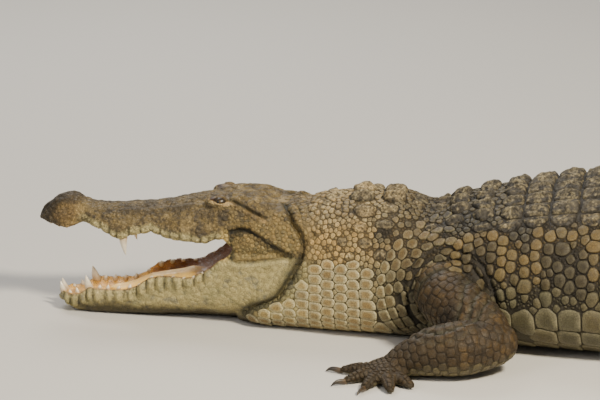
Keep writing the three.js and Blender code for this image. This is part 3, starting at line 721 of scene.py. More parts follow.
def rugose(points):
    """The pitted bone of the skull, stronger on top."""
    upper = upper_weight(points)
    height = smooth_step(points[:, 2], 195, 240) * upper
    pits = fractal(points, 13, 21) * 1.5 + np.minimum(noise(points, 7, 25), 0) * 1.2
    jaw = (1 - upper) * (points[:, 1] < 540)
    grain = noise(points * (1, 0.55, 1), 4.5, 27) * 0.7 * smooth_step(points[:, 2], 180, 215) * upper
    return height * pits + grain + 0.45 * fractal(points, 16, 31) * np.maximum(jaw, upper * 0.8)


FLANK_PITCH = 58  # from one cross row of the trunk to the next
FOLD_PITCH = 17


def root_folds(points):
    """Ring folds round the roots of the legs: depth from 0 to 1."""
    depth = np.zeros(len(points))
    for plan, way, shift in LEGS.values():
        x, y, z, wide, _ = plan["upper"][1]
        root = np.array([way * x, y + shift, z])
        near = np.linalg.norm((points - root) * (0.55, 1, 1), axis=1)
        rings = 0.5 - 0.5 * np.cos(2 * np.pi * (near + 5 * noise(points, 50, 43) - wide) / FOLD_PITCH)
        inside = smooth_step(near, wide - 14, wide + 4) * (1 - smooth_step(near, wide + 34, wide + 60))
        depth += (1 - rings) ** 2 * inside * (way * points[:, 0] > 60)
    return depth


def body_relief(points, station, angle):
    """Creases between the rows of the body, and folds round the roots of the legs."""
    turn = np.abs(angle)
    side = smooth_step(turn, 0.75, 1.15) * (1 - smooth_step(turn, 1.75, 2.1))
    length = smooth_step(station, 930, 1010) * (1 - smooth_step(station, 1850, 2000))
    phase = (station + 9 * noise(points, 90, 41)) / FLANK_PITCH
    crease = np.exp(-(((phase - np.round(phase)) * FLANK_PITCH / 6) ** 2))
    lift = -2.6 * crease * side * length + 1.6 * fractal(points, 120, 44) * side * length
    return lift - 5.5 * root_folds(points)


# The opening between the lids, seen from the side: it runs down to the front.
LID_CENTRE = (401.5, 265.3)
LID_SLOPE = 0.1
SLIT_HALF_LENGTH, SLIT_UP, SLIT_DOWN = 21.5, 4.8, 3.5
LID_HALF_LENGTH, LID_UP, LID_DOWN = 29.0, 15.0, 11.0
LID_THICKNESS = 1.4
SLIT_DEPTH = 6.0


def beside_slit(points):
    """How far each point is ahead of and above the slit's middle, and its place in the lids' oval."""
    along = points[:, 1] - LID_CENTRE[0]
    above = points[:, 2] - LID_CENTRE[1] + LID_SLOPE * along
    outer = (along / LID_HALF_LENGTH) ** 2 + (above / np.where(above > 0, LID_UP, LID_DOWN)) ** 2
    return along, above, outer


def lids(points):
    """Shapes the lids over the eyeballs and opens the slit between them."""
    points = points.copy()
    lid_radius = EYE_RADIUS + LID_THICKNESS
    for side in (1, -1):
        gap = (points - eye_centre(side)) / EYE_SQUASH
        distance = np.linalg.norm(gap, axis=1)
        along, above, outer = beside_slit(points)
        bow = np.clip(1 - (along / SLIT_HALF_LENGTH) ** 2, 0, 1)
        edge = np.where(above > 0, SLIT_UP, SLIT_DOWN) * bow
        inside = np.abs(above) - edge
        open_slit = (1 - smooth_step(inside, -0.5, 0.5)) * (np.abs(along) < SLIT_HALF_LENGTH)
        facing = (side * gap[:, 0] > 2) & (distance < 45)
        cover = (1 - smooth_step(outer, 0.55, 1.15)) * facing
        rim = np.exp(-(((inside - 1.4) / 1.3) ** 2)) * (np.abs(along) < SLIT_HALF_LENGTH + 2)
        wrinkle = np.exp(-(((outer - 1.05) / 0.16) ** 2)) * facing * 1.8
        inner = np.exp(-(((outer - 0.55) / 0.1) ** 2)) * facing * (above > 0) * 0.8
        radius = lid_radius + rim * 0.9
        radius = radius * (1 - open_slit) + (EYE_RADIUS - SLIT_DEPTH) * open_slit
        goal = distance + (radius - distance) * cover - wrinkle - inner
        least = lid_radius * (1 - open_slit * facing)
        goal = np.where(distance < 40, np.maximum(goal, least), goal)
        points += gap / np.maximum(distance, 1e-6)[:, None] * (goal - distance)[:, None] * EYE_SQUASH
    return points


def around_body(points):
    """Station, angle round the body and how far out of the body's outline each point stands."""
    station, left = along_spine(points)
    up = points[:, 2] - BODY.belt(station)
    reach = np.where(up > 0, BODY.top(station) - BODY.belt(station), BODY.belt(station) + SINK)
    power = np.where(up > 0, BODY.top_power(station), BODY.bottom_power(station))
    across = np.abs(left / BODY.half_width(station)) ** (power / 2)
    height = np.abs(up / reach) ** (power / 2)
    angle = np.arctan2(np.sign(left) * across, np.sign(up) * height)
    beyond = (across**2 + height**2) ** (1 / power)
    return station, angle, (beyond - 1) * BODY.half_width(station)


LEVEL = 2.2  # the skin's lowest height above the floor


def on_floor(points):
    points = points.copy()
    points[:, 2] = np.maximum(points[:, 2], LEVEL)
    return points


def finer_near_eyes(points, quads, rounds, reach):
    """Splits the faces round the eyes, and gives the whole mesh back as triangles."""
    mesh = bpy.data.meshes.new("split")
    mesh.from_pydata(points.tolist(), [], quads.tolist())
    grid = bmesh.new()
    grid.from_mesh(mesh)
    centres = [Vector(eye_centre(side) + (side * 8, 0, 0)) for side in (1, -1)]
    for turn in range(rounds):
        radius = reach - 4 * turn
        near = [e for e in grid.edges if any((e.verts[0].co - c).length < radius for c in centres)]
        bmesh.ops.subdivide_edges(grid, edges=near, cuts=1, use_grid_fill=True)
    bmesh.ops.triangulate(grid, faces=[face for face in grid.faces if len(face.verts) > 4])
    grid.to_mesh(mesh)
    grid.free()
    mesh.calc_loop_triangles()
    triangles = np.empty(len(mesh.loop_triangles) * 3, int)
    mesh.loop_triangles.foreach_get("vertices", triangles)
    verts = np.empty(len(mesh.vertices) * 3)
    mesh.vertices.foreach_get("co", verts)
    bpy.data.meshes.remove(mesh)
    return verts.reshape(-1, 3), triangles.reshape(-1, 3)


def vertex_normals(points, triangles):
    a, b, c = (points[triangles[:, k]] for k in range(3))
    face = np.cross(b - a, c - a)
    total = np.empty_like(points)
    for axis in range(3):
        total[:, axis] = sum(np.bincount(triangles[:, k], face[:, axis], len(points)) for k in range(3))
    return unit(total)


# The soft corner of the mouth, between the jaws.
WEB_LOW, WEB_MIDDLE, WEB_HIGH = 128, 166, 200
WEB_FRONT, WEB_BACK = 431, 452
WEB_BOW = 27
WEB_HALF_THICKNESS = 3.4


def mouth_web(side):
    """The soft skin that joins the jaws at one corner of the mouth."""
    rings = []
    for z in np.linspace(WEB_LOW, WEB_HIGH, 15):
        front = WEB_FRONT - WEB_BOW * abs((z - WEB_MIDDLE) / 30) ** 2.2
        y = np.linspace(front, WEB_BACK, 12)
        middle = 0.93 * (LOWER.row_x(y) + UPPER.lip_x(y)) / 2
        half = WEB_HALF_THICKNESS * np.clip((y - front) / 6, 0.15, 1) ** 0.5
        outer = np.c_[side * (middle + half), y, np.full(12, z)]
        inner = np.c_[side * (middle - half), y, np.full(12, z)][::-1]
        ring = np.vstack([outer, inner])
        rings.append(ring if side > 0 else ring[::-1])
    return loft(np.array(rings))


HEAD_STEP, HEAD_SAMPLES = 2.5, 100


def flesh_solids():
    solids = [
        body_loft(step=8, sides=128),
        upper_loft(HEAD_STEP, HEAD_SAMPLES),
        lower_loft(HEAD_STEP, HEAD_SAMPLES),
        mouth_web(1),
        mouth_web(-1),
    ]
    for side in (1, -1):
        solids.append(ball((EYE_CENTRE + BROW_OFFSET) * (side, 1, 1), BROW_SEMI_AXES))
    for plan, side, shift in LEGS.values():
        solids += leg_solids(plan, side, shift)
    return solids


HEAD_REACH = 700  # y up to which points are looked at for the head's features


def soft_places(points):
    """How strongly the roots of the legs and the join of head and neck are smoothed."""
    roots = np.zeros(len(points))
    for plan, side, shift in LEGS.values():
        x, y, z, wide, _ = plan["upper"][1]
        away = np.linalg.norm(points - (side * x * 0.86, y + shift, z), axis=1)
        roots = np.maximum(roots, np.exp(-((away / (1.25 * wide)) ** 4)))
    neck = np.exp(-(((points[:, 1] - 585) / 26) ** 2))
    return np.maximum(roots, neck)


def relief(points):
    """How far folds, creases and bone lift each point of the skin."""
    station, angle, _ = around_body(points)
    head, body = points[:, 1] < HEAD_REACH, points[:, 1] > 640
    lift = np.zeros(len(points))
    lift[head] = head_relief(points[head]) + rugose(points[head])
    lift[body] += body_relief(points[body], station[body], angle[body])
    eye_gap = np.minimum(*(np.linalg.norm(points - eye_centre(side), axis=1) for side in (1, -1)))
    return lift * smooth_step(eye_gap, 18, 30)


def sculpted_skin():
    """The finished skin as points and triangles."""
    points, faces = joined(flesh_solids())
    points, quads = remeshed(enlarge_head(points), faces, VOXEL)
    points = on_floor(shrink_head(points))
    edges = edges_of(quads)
    points = smoothed(points, edges, rounds=3, amount=0.5)
    points = smoothed(points, edges, rounds=16, amount=0.6 * soft_places(points))
    points, triangles = finer_near_eyes(points, quads, rounds=2, reach=40)
    points = lids(points)
    lift = relief(points)
    return on_floor(points + vertex_normals(points, triangles) * lift[:, None]), triangles


# ---------------------------------------------------------------- places on the skin

GIRTH_STEP, GIRTH_TURNS = 10.0, 240
GIRTH_STATIONS = np.arange(BODY_FROM, TOTAL_LENGTH + 1, GIRTH_STEP)
GIRTH_ANGLES = np.linspace(0, np.pi, GIRTH_TURNS + 1)
_x, _z = body_section(GIRTH_STATIONS[:, None], GIRTH_ANGLES[None])
_pieces = np.hypot(np.diff(_x, axis=1), np.diff(_z, axis=1))
ARCS = np.c_[np.zeros(len(GIRTH_STATIONS)), np.cumsum(_pieces, axis=1)]
HALF_GIRTH = ARCS[:, -1]


def half_girth(station):
    return np.interp(station, GIRTH_STATIONS, HALF_GIRTH)


def girth_share(station, angle):
    """0 at the middle of the back, 1 at the middle of the belly, by length round the body."""
    row = np.clip((station - BODY_FROM) / GIRTH_STEP, 0, len(GIRTH_STATIONS) - 1.001)
    column = np.clip(np.abs(angle) / np.pi * GIRTH_TURNS, 0, GIRTH_TURNS - 0.001)
    i, j = row.astype(int), column.astype(int)
    s, t = row - i, column - j
    near = ARCS[i, j] * (1 - t) + ARCS[i, j + 1] * t
    far = ARCS[i + 1, j] * (1 - t) + ARCS[i + 1, j + 1] * t
    return (near * (1 - s) + far * s) / half_girth(station)


def body_point(station, arc):
    """The point of the outline that lies arc mm from the middle of the back, left where positive."""
    row = ARCS[int(round((np.clip(station, BODY_FROM, TOTAL_LENGTH) - BODY_FROM) / GIRTH_STEP))]
    angle = np.sign(arc) * np.interp(abs(arc), row, GIRTH_ANGLES)
    x, z = body_section(station, angle)
    return beside(station, x, z)


def run_of(centres):
    """Length along a line of points at each of them."""
    return np.r_[0, np.cumsum(np.linalg.norm(np.diff(centres, axis=0), axis=1))]


# Columns of a leg's axis, one row for each sample.
CENTRE, HALF_WIDTH, AHEAD, ACROSS, UPWARD = slice(0, 3), 3, slice(5, 8), slice(8, 11), slice(11, 14)


def limb_axes():
    """For each leg: samples of its axis, and length along it."""
    axes = {}
    for name, (plan, side, shift) in LEGS.items():
        stretches = (("upper", 40), ("lower", 40), ("palm", 16))
        paths = [limb_path(placed(plan[part], side, shift), samples) for part, samples in stretches]
        axis = np.vstack([np.c_[path] for path in paths])
        axes[name] = (axis, run_of(axis[:, CENTRE]))
    return axes


AXES = limb_axes()

# Charts of the unwrap: the body, skull, lower jaw, roof and floor of the mouth, then the four legs. Each
# has a band of v; two charts that share a band lie side by side.
BODY_CHART, SKULL_CHART, JAW_CHART, ROOF_CHART, FLOOR_CHART, FIRST_LEG_CHART = range(6)
CHART_FOOT = np.array([0.01, 0.45, 0.45, 0.6, 0.6, 0.76, 0.76, 0.88, 0.88])
CHART_HEIGHT = np.array([0.42, 0.14, 0.14, 0.14, 0.14, 0.11, 0.11, 0.11, 0.11])
CHARTS = len(CHART_FOOT)
TURN_ROOM = 1.06  # a face across the cut of a chart runs a little past one turn


def turn_share(angle):
    return angle / (2 * np.pi) + 0.5


class Places:
    """Where each point of the skin is: on the body, a leg, the head or the lining of the mouth."""

    def __init__(self, points, normals):
        self.points, self.normals = points, normals
        self.station, self.angle, self.beyond = around_body(points)
        self.share = girth_share(self.station, self.angle)
        self.limb = np.full(len(points), -1)
        self.along = np.zeros(len(points))
        self.round = np.zeros(len(points))
        self.limb_weight = np.zeros(len(points))
        self.find_limbs()
        self.upper = upper_weight(points)
        self.find_lining()

    def find_limbs(self):
        """Sets limb, how far along and round it each point is, and how much it belongs to it."""
        x, y = self.points[:, 0], self.points[:, 1]
        for number, (name, (plan, side, _)) in enumerate(LEGS.items()):
            axis, run = AXES[name]
            hand_from = 345 if plan is FORE else 395
            low, high = axis[:, 1].min() - 200, axis[:, 1].max() + 120
            near = np.flatnonzero((side * x > 60) & (y > low) & (y < high))
            gap = self.points[near, None, :] - axis[None, :, CENTRE]
            ratio = np.linalg.norm(gap, axis=2) / np.maximum(axis[:, HALF_WIDTH], 40)
            best = ratio.argmin(1)
            picked = np.arange(len(near))
            ratio = ratio[picked, best]
            weight = smooth_step(self.beyond[near], 2, 26) * (1 - smooth_step(ratio, 1.5, 1.9))
            weight = np.maximum(weight, side * x[near] > hand_from)
            gap = gap[picked, best]
            turn = np.arctan2((gap * axis[best, UPWARD]).sum(1), (gap * axis[best, ACROSS]).sum(1))
            better = weight > self.limb_weight[near]
            kept = near[better]
            self.limb[kept] = number
            self.limb_weight[kept] = weight[better]
            ahead = (gap * axis[best, AHEAD]).sum(1)
            beyond_end = np.where(best == len(axis) - 1, ahead, 0)
            self.along[kept] = (run[best] + beyond_end)[better]
            self.round[kept] = turn[better]

    def find_lining(self):
        """Marks the roof and floor of the mouth."""
        x, y, z = np.abs(self.points[:, 0]), self.points[:, 1], self.points[:, 2]
        side_way = np.sign(self.points[:, 0]) * self.normals[:, 0]
        ahead = y < MOUTH_CORNER - 2
        inner_upper = ((self.normals[:, 2] < -0.35) | (side_way < -0.3)) & (x < UPPER.lip_x(y) * 0.96)
        inner_lower = (x < LOWER.row_x(y) - 2.5) & (z > LOWER.floor_z(y) - 7)
        self.above = z > (LOWER.row_z(y) + UPPER.lip_z(y)) / 2
        self.lining = ahead & np.where(self.above, inner_upper, inner_lower)
        self.lining &= z < UPPER.palate_z(y) + 9

    def chart(self):
        """Which part of the unwrap each point belongs to."""
        head = self.points[:, 1] < 560
        chart = np.full(len(self.points), BODY_CHART)
        chart[head] = np.where(self.upper[head] > 0.5, SKULL_CHART, JAW_CHART)
        chart[head & self.lining] = np.where(self.above, ROOF_CHART, FLOOR_CHART)[head & self.lining]
        legs = self.limb_weight > 0.5
        chart[legs] = FIRST_LEG_CHART + self.limb[legs]
        return chart

    def unwrap(self, chart):
        """u of each point in a chart, and its turn there from 0 to 1."""
        x, y, z = self.points.T
        roof = UPPER.palate_z(np.minimum(y, 420)) + 12
        charts = [
            ((self.station - 420) * (1.0 / (TOTAL_LENGTH + 60)), turn_share(self.angle)),
            (y / 1300, turn_share(np.arctan2(x, z - roof))),
            (y / 1300 + 0.5, turn_share(np.arctan2(x, z - 22))),
            (y / 1300, x / 260 + 0.5),
            (y / 1300 + 0.5, x / 260 + 0.5),
        ]
        for leg in range(FIRST_LEG_CHART, CHARTS):
            charts.append((0.02 + self.along / 1400 + 0.5 * (leg % 2), turn_share(self.round)))
        uv = np.zeros((len(x), 2))
        for number, (u, turn) in enumerate(charts):
            mine = chart == number
            uv[mine, 0], uv[mine, 1] = u[mine], turn[mine]
        return uv


def settle(chart, turn):
    """v in the unwrap for a chart and a turn."""
    return CHART_FOOT[chart] + CHART_HEIGHT[chart] * (turn / TURN_ROOM)


# ---------------------------------------------------------------- markings


def srgb(*levels):
    """A linear colour from 0 to 255 levels as seen on a screen."""
    value = np.array(levels) / 255.0
    return np.where(value <= 0.04045, value / 12.92, ((value + 0.055) / 1.055) ** 2.4)


BACK = srgb(124, 112, 88)
BACK_DARK = srgb(48, 46, 43)
FLANK = srgb(171, 142, 82)
FLANK_DARK = srgb(58, 52, 40)
BELLY_SIDE = srgb(146, 136, 98)
BELLY = srgb(196, 187, 146)
NECK = srgb(164, 138, 88)
NAPE = srgb(170, 148, 104)
GULAR = srgb(152, 136, 94)
ARM = srgb(60, 46, 25)
ARM_DARK = srgb(38, 30, 20)
ARM_SPOT = srgb(88, 68, 36)
FINGER = srgb(56, 45, 27)
SKULL = srgb(122, 104, 66)
SKULL_DARK = srgb(70, 62, 50)
SNOUT_TIP = srgb(42, 37, 30)
LIP = srgb(190, 176, 124)
JAW = srgb(174, 160, 108)
JAW_SPOT = srgb(92, 98, 98)
CHEEK = srgb(140, 119, 72)
# FOLD: a dark tone, mostly laid as painted shade in folds, creases, grooves and slits; it also mottles the
# cheek.
FOLD = srgb(58, 58, 44)
LID = srgb(104, 84, 50)
LID_RIM = srgb(196, 168, 118)
# Lining of the mouth: MOUTH_PALE and MOUTH_MID are its colour, MOUTH_DEEP the dark of painted shade at the
# back of the mouth.
MOUTH_PALE = srgb(232, 178, 84)
MOUTH_MID = srgb(176, 122, 60)
MOUTH_DEEP = srgb(112, 68, 26)
CORNER = srgb(214, 182, 104)
TAIL_SIDE = srgb(138, 122, 86)
SKULL_PALE = srgb(164, 142, 96)
NOSTRIL_BOSS = srgb(136, 108, 62)
JAW_OLIVE = srgb(140, 134, 92)
JAW_SHADE = srgb(52, 46, 29)
EAR_RIM = srgb(196, 160, 100)
GUM = srgb(140, 102, 62)
# GUM_INSIDE: dark brown of painted shade on the inner wall of the lower jaw's row.
GUM_INSIDE = srgb(92, 60, 33)
EYE_CORNER = srgb(58, 36, 20)
# SOCKET: near black, painted shade on the skin of the socket behind the eyeball.
SOCKET = srgb(30, 20, 16)

# Dark patches, the same on both sides: station, share of the half girth from back to belly, half length,
# half share and strength.
PATCHES = (
    (772, 0.3, 22, 0.05, 0.8), (935, 0.21, 54, 0.07, 0.85), (968, 0.42, 34, 0.13, 0.7),
    (1058, 0.3, 32, 0.06, 0.9), (1150, 0.42, 60, 0.07, 0.85), (1262, 0.26, 46, 0.1, 0.75),
    (1350, 0.4, 40, 0.1, 0.7), (1452, 0.24, 46, 0.12, 0.8), (1560, 0.38, 44, 0.1, 0.75),
    (1668, 0.24, 48, 0.12, 0.8), (1790, 0.32, 40, 0.12, 0.7), (668, 0.14, 26, 0.08, 0.5),
    (848, 0.1, 30, 0.1, 0.55), (1120, 0.12, 34, 0.09, 0.5),
)
TAIL_BANDS_FROM, TAIL_BAND_PITCH = 1900, 168

# Lines drawn on the head: path, colour, half width and strength. The dark lines in tones of FOLD are painted
# shade in the folds, grooves and slits; those of CORNER, EAR_RIM and LIP are colour.
HEAD_LINES = (
    (moved(CORNER_LINE, y=-12, x=-4), CORNER, 10, 0.95), (CORNER_LINE, FOLD * 0.5, 7, 0.95),
    (GAPE, FOLD * 0.25, 9.5, 1.0), (EAR, FOLD * 0.5, 4.5, 1.0), (NECK_FOLD, FOLD * 0.6, 8, 1.0),
    (moved(NECK_FOLD[:7], y=27), FOLD, 5, 0.8), (moved(NECK_FOLD[:7], y=47), FOLD, 4.5, 0.7),
    *((line, FOLD * 0.6, 4, 0.9) for line in FOLD_FAN), (moved(EAR, x=3, z=-8), EAR_RIM, 4, 0.75),
    (NECK_FOLD[5:], FOLD * 0.8, 15, 0.8), (CHEEK_LINE, FOLD * 0.7, 3.2, 0.9),
    (moved(CHEEK_LINE, z=-10), LIP, 6, 0.5),
)
GROOVE_HALF_WIDTH = 2.4
HEAD_FADE = (560, 640)  # stations over which the head's markings give way to the body's
NAPE_FADE = (850, 900)


def blend(base, colour, weight):
    """A colour, or one for each point, moved towards another by a weight for each point."""
    return base + (colour - base) * np.asarray(weight)[:, None]


def bump_at(value, centre, half):
    return np.exp(-(((value - centre) / half) ** 2))


def dark_places(points, station, share, wander):
    """Patches of the trunk, rings of the tail and speckles of the back: strength from 0 to 1."""
    shaded = np.zeros(len(points))
    at = station + 26 * wander
    for s, c, length, height, strength in PATCHES:
        spot = bump_at(at, s, length) * bump_at(share, c, height)
        shaded = np.maximum(shaded, strength * smooth_step(spot, 0.2, 0.62))
    phase = (at - TAIL_BANDS_FROM) / TAIL_BAND_PITCH
    band = smooth_step(np.cos(2 * np.pi * phase), 0.05, 0.75) * smooth_step(station, 1830, 1960)
    shaded = np.maximum(shaded, band * (0.85 - 0.5 * smooth_step(share, 0.62, 0.9)))
    speckle = smooth_step(fractal(points, 26, 55), 0.3, 0.75) * (1 - smooth_step(share, 0.5, 0.62))
    return np.maximum(shaded, 0.5 * speckle)


def body_colour(points, station, share):
    """Back, flank and belly of neck, trunk and tail, the trunk in shade."""
    wander = fractal(points, 70, 51)
    share = share + 0.03 * wander
    colour = blend(BACK, FLANK, smooth_step(share, 0.25, 0.32))
    colour = blend(colour, BELLY_SIDE, smooth_step(share, 0.43, 0.5))
    colour = blend(colour, BELLY, smooth_step(share, 0.7, 0.9))
    neck = 1 - smooth_step(station, 820, 930)
    colour = blend(colour, NECK, neck * smooth_step(share, 0.12, 0.28) * (1 - smooth_step(share, 0.5, 0.6)))
    colour = blend(colour, GULAR, neck * smooth_step(share, 0.4, 0.48))
    nape = (1 - smooth_step(station, *NAPE_FADE)) * (1 - smooth_step(share, 0.2, 0.3))
    colour = blend(colour, NAPE, 0.8 * nape)
    tail = smooth_step(station, 1850, 2200)
    colour = blend(colour, TAIL_SIDE, tail * smooth_step(share, 0.2, 0.5) * 0.7)
    shaded = dark_places(points, station, share, wander)
    dark = blend(BACK_DARK, FLANK_DARK, smooth_step(share, 0.25, 0.4))
    colour = blend(colour, dark, shaded * (1 - 0.75 * smooth_step(share, 0.6, 0.76)))
    # painted shade in the ring folds round the roots of the legs
    colour = blend(colour, FOLD, 0.75 * np.clip(root_folds(points), 0, 1))
    shade = 0.69 * smooth_step(station, 660, 820) + 0.05 * smooth_step(station, 1000, 1120)
    return colour * (1 - shade)[:, None]


def limb_colour(points, where):
    colour = blend(ARM, ARM_SPOT, 0.6 * smooth_step(fractal(points, 15, 63), 0.1, 0.6))
    colour = blend(colour, ARM_DARK, 0.7 * smooth_step(-fractal(points, 34, 61), 0.05, 0.6))
    colour = blend(colour, FINGER, 0.65 * smooth_step(where.along, 300, 380))
    under = smooth_step(-where.normals[:, 2], 0.25, 0.8)
    colour = blend(colour, BELLY_SIDE * 0.6, 0.7 * under)
    # painted shade in the ring folds round the roots of the legs
    return blend(colour, FOLD, 0.8 * np.clip(root_folds(points), 0, 1))


def lid_place(points):
    """Place in the lids' oval (below 1 on the lids), height above the slit and distance to the eyeball."""
    _, above, outer = beside_slit(points)
    gaps = ((points - eye_centre(side)) / EYE_SQUASH for side in (1, -1))
    gap = np.minimum(*(np.linalg.norm(away, axis=1) for away in gaps))
    return np.where(gap < 30, outer, 9.0), above, gap


def cheek_line(y):
    """Height of the line below the soft skin of the cheek."""
    return np.interp(y, [p[1] for p in CHEEK_LINE], [p[2] for p in CHEEK_LINE])


def skull_colour(points, wander, fine):
    _, y, z = points.T
    colour = blend(SKULL, SKULL_DARK, 0.75 * smooth_step(fine, 0.1, 0.6))
    colour = blend(colour, SKULL_DARK, 0.6 * smooth_step(wander, 0.2, 0.7))
    colour = blend(colour, SKULL_PALE, 0.6 * smooth_step(-wander, 0.1, 0.6))
    lip = (1 - smooth_step(z - UPPER.lip_z(y) + 4 * wander, 13, 22)) * smooth_step(y, 70, 120)
    colour = blend(colour, LIP, 0.9 * lip)
    colour = blend(colour, NOSTRIL_BOSS, 0.45 * (1 - smooth_step(np.abs(y - 60), 20, 45)))
    ridge = smooth_step(z - UPPER.edge_z(y), -9, -1) * smooth_step(y, 95, 120)
    colour = blend(colour, SKULL_DARK, 0.5 * ridge * (1 - smooth_step(y, 300, 380)))
    tip = 1 - smooth_step(y + 14 * wander, 26, 62)
    tip = tip + 0.9 * smooth_step(z, 232, 246) * (1 - smooth_step(y, 80, 120))
    # painted shade in the notch over the fourth lower tooth, in the dark colour of the snout tip
    tip = tip + 0.7 * bump_at(y, 104, 12) * (1 - smooth_step(z, 206, 232))
    return blend(colour, SNOUT_TIP, np.clip(tip, 0, 1) * 0.85)


def jaw_colour(points, wander):
    _, y, z = points.T
    colour = blend(JAW, LIP, 0.6 * smooth_step(z - LOWER.row_z(y), -22, -4))
    colour = blend(colour, JAW_SPOT, 0.5 * smooth_step(fractal(points, 11, 81), 0.42, 0.62))
    colour = blend(colour, JAW_OLIVE, 0.5 * smooth_step(wander, 0.1, 0.7))
    under = (1 - smooth_step(z + 5 * wander, 15, 40)) * smooth_step(y, 60, 110)
    return blend(colour, JAW_SHADE, 0.92 * under)


def with_gums(colour, points, where):
    """Adds the gums of the lower jaw, painted shade on the inner wall of its row and painted shade in the
    grooves between the bumps over the teeth.
    """
    x, y, z = points.T
    lower, ahead = where.upper <= 0.5, y < 415
    row = np.where(lower, LOWER.row_z(y) - z, z - UPPER.lip_z(y))
    colour = blend(colour, GUM, 0.75 * (1 - smooth_step(row, -1, 4)) * ahead * lower)
    # painted shade: the inner wall of the lower row, behind the front teeth, goes dark brown
    inside = smooth_step(y, 205, 235) * ahead * lower * (1 - smooth_step(row, 5, 10))
    inside = inside * (1 - smooth_step(np.abs(x) - LOWER.row_x(y), -2, 2))
    colour = blend(colour, GUM_INSIDE, 0.9 * inside)
    # painted shade in the grooves between the bumps over the teeth
    for stations, mine, fade_from in ((UPPER_GROOVES, ~lower, 12), (LOWER_GROOVES, lower, 18)):
        gap = np.abs(y[:, None] - np.array(stations)).min(1)
        dark = bump_at(gap, 0, GROOVE_HALF_WIDTH) * (1 - smooth_step(row, fade_from, 24)) * ahead
        colour = blend(colour, FOLD, 0.75 * dark * mine)
    return colour


def with_lids(colour, points):
    """Adds the lids, painted shade in the wrinkle round them, the dark front corner of the eye and painted
    shade on the socket behind the eyeball.
    """
    outer, above, gap = lid_place(points)
    corner = bump_at(points[:, 1], LID_CENTRE[0] - 15, 9) * bump_at(above, 0.4, 3.2)
    colour = blend(colour, LID, 0.9 * (1 - smooth_step(outer, 0.22, 0.55)) * (above > 0))
    colour = blend(colour, LID_RIM, 0.8 * (1 - smooth_step(outer, 0.5, 1.0)) * (above <= 0))
    # painted shade in the wrinkle round the lids
    colour = blend(colour, FOLD, 0.6 * bump_at(outer, 1.18, 0.16))
    colour = blend(colour, EYE_CORNER, 0.95 * smooth_step(corner, 0.15, 0.55) * (gap < 30))
    # painted shade: skin sunk inside the eyeball's radius goes near black
    return blend(colour, SOCKET, (gap < EYE_RADIUS - 1) & (outer < 1))


def head_colour(points, where):
    x, y, z = points.T
    wander = fractal(points, 24, 71)
    fine = fractal(points, 9, 75)
    skullward = np.maximum(where.upper, smooth_step(z, 168, 205) * smooth_step(y, 470, 515))
    colour = blend(jaw_colour(points, wander), skull_colour(points, wander, fine), skullward)
    cheek = smooth_step(y, 418, 440) * (1 - smooth_step(z, 222, 250)) * smooth_step(z - cheek_line(y), -3, 3)
    colour = blend(colour, blend(CHEEK, FOLD, 0.5 * smooth_step(fine, 0, 0.6)), cheek * 0.85)
    left = np.c_[np.abs(x), y, z]
    # the dark lines of HEAD_LINES are painted shade along the folds and grooves
    for path, tone, width, strength in HEAD_LINES:
        colour = blend(colour, tone, strength * bump_at(path_distance(left, path)[0], 0, width))
    colour = with_lids(with_gums(colour, points, where), points)
    # lining of the mouth: pale at the front, orange further in, then dark at the back as painted shade in the
    # depth of the mouth
    depth = smooth_step(y, 180, 380) + 0.25 * wander
    lining = blend(MOUTH_PALE, MOUTH_MID, smooth_step(depth, 0.0, 0.4))
    lining = blend(lining, MOUTH_DEEP, smooth_step(depth, 0.3, 0.7))
    return np.where(where.lining[:, None], lining, colour)


def markings(points, where):
    """The colour of the skin, and of the scales rooted in it, at each point."""
    colour = body_colour(points, where.station, where.share)
    near = points[:, 1] < HEAD_REACH
    head = np.zeros((len(points), 3))
    if near.any():
        part = Places(points[near], where.normals[near])
        head[near] = head_colour(points[near], part)
    weight = 1 - smooth_step(points[:, 1] + 10 * noise(points, 20, 91), *HEAD_FADE)
    colour = blend(colour, head, weight * near)
    return blend(colour, limb_colour(points, where), where.limb_weight)


# ---------------------------------------------------------------- roots of the scales

GRANULE, PEBBLE, SHINGLE, SCUTE, RING, PLATE = range(6)
TRUNK_FROM, TRUNK_TO = 905, 1905
SCUTE_ROWS = ((28, 28, 17), (84, 28, 16), (139, 27, 14), (190, 20, 9))  # arc, half width, height
SCUTE_HALF_LENGTH = 29

# The block of plates on the neck: station, arc, half length, half width and height.
NUCHAL = (
    (634, 20, 15, 14, 7), (630, 50, 14, 13, 6), (700, 31, 33, 30, 19), (716, 92, 29, 26, 14),
    (768, 30, 32, 28, 20), (766, 84, 24, 20, 10), (826, 22, 19, 17, 8), (706, 140, 22, 17, 7),
    (758, 134, 24, 16, 7), (722, 178, 18, 14, 5), (756, 206, 17, 13, 5), (812, 150, 17, 14, 4.5),
    (866, 28, 20, 20, 9), (862, 74, 19, 19, 9), (856, 120, 17, 16, 7), (672, 166, 14, 12, 4),
    (690, 206, 13, 11, 4),
)
GIRTH_AT_SCUTES = half_girth(1150)  # the half girth for which arcs are given
BELLY_FROM = 398  # arc at which the plates of the belly begin
BELLY_SHARE = BELLY_FROM / GIRTH_AT_SCUTES
FLANK_ARCS = np.arange(222, BELLY_FROM - 24, 27)
THROAT_FROM = 476.0
THROAT_PITCH, BELLY_PITCH = 28, 49
THROAT_WIDTH, BELLY_WIDTH = 20.5, 44
TAIL_PITCH = 46
TAIL_WIDTH = 31
CREST_ROOM = 12  # of each side, left free for the saw of the tail
DIGIT_PITCH = 9.5


def past_jaw(points):
    """How far each point lies behind the fold at the back of the jaws."""
    _, y, z = np.array(NECK_FOLD[::-1], float).T
    return points[:, 1] - np.interp(points[:, 2], z, y)


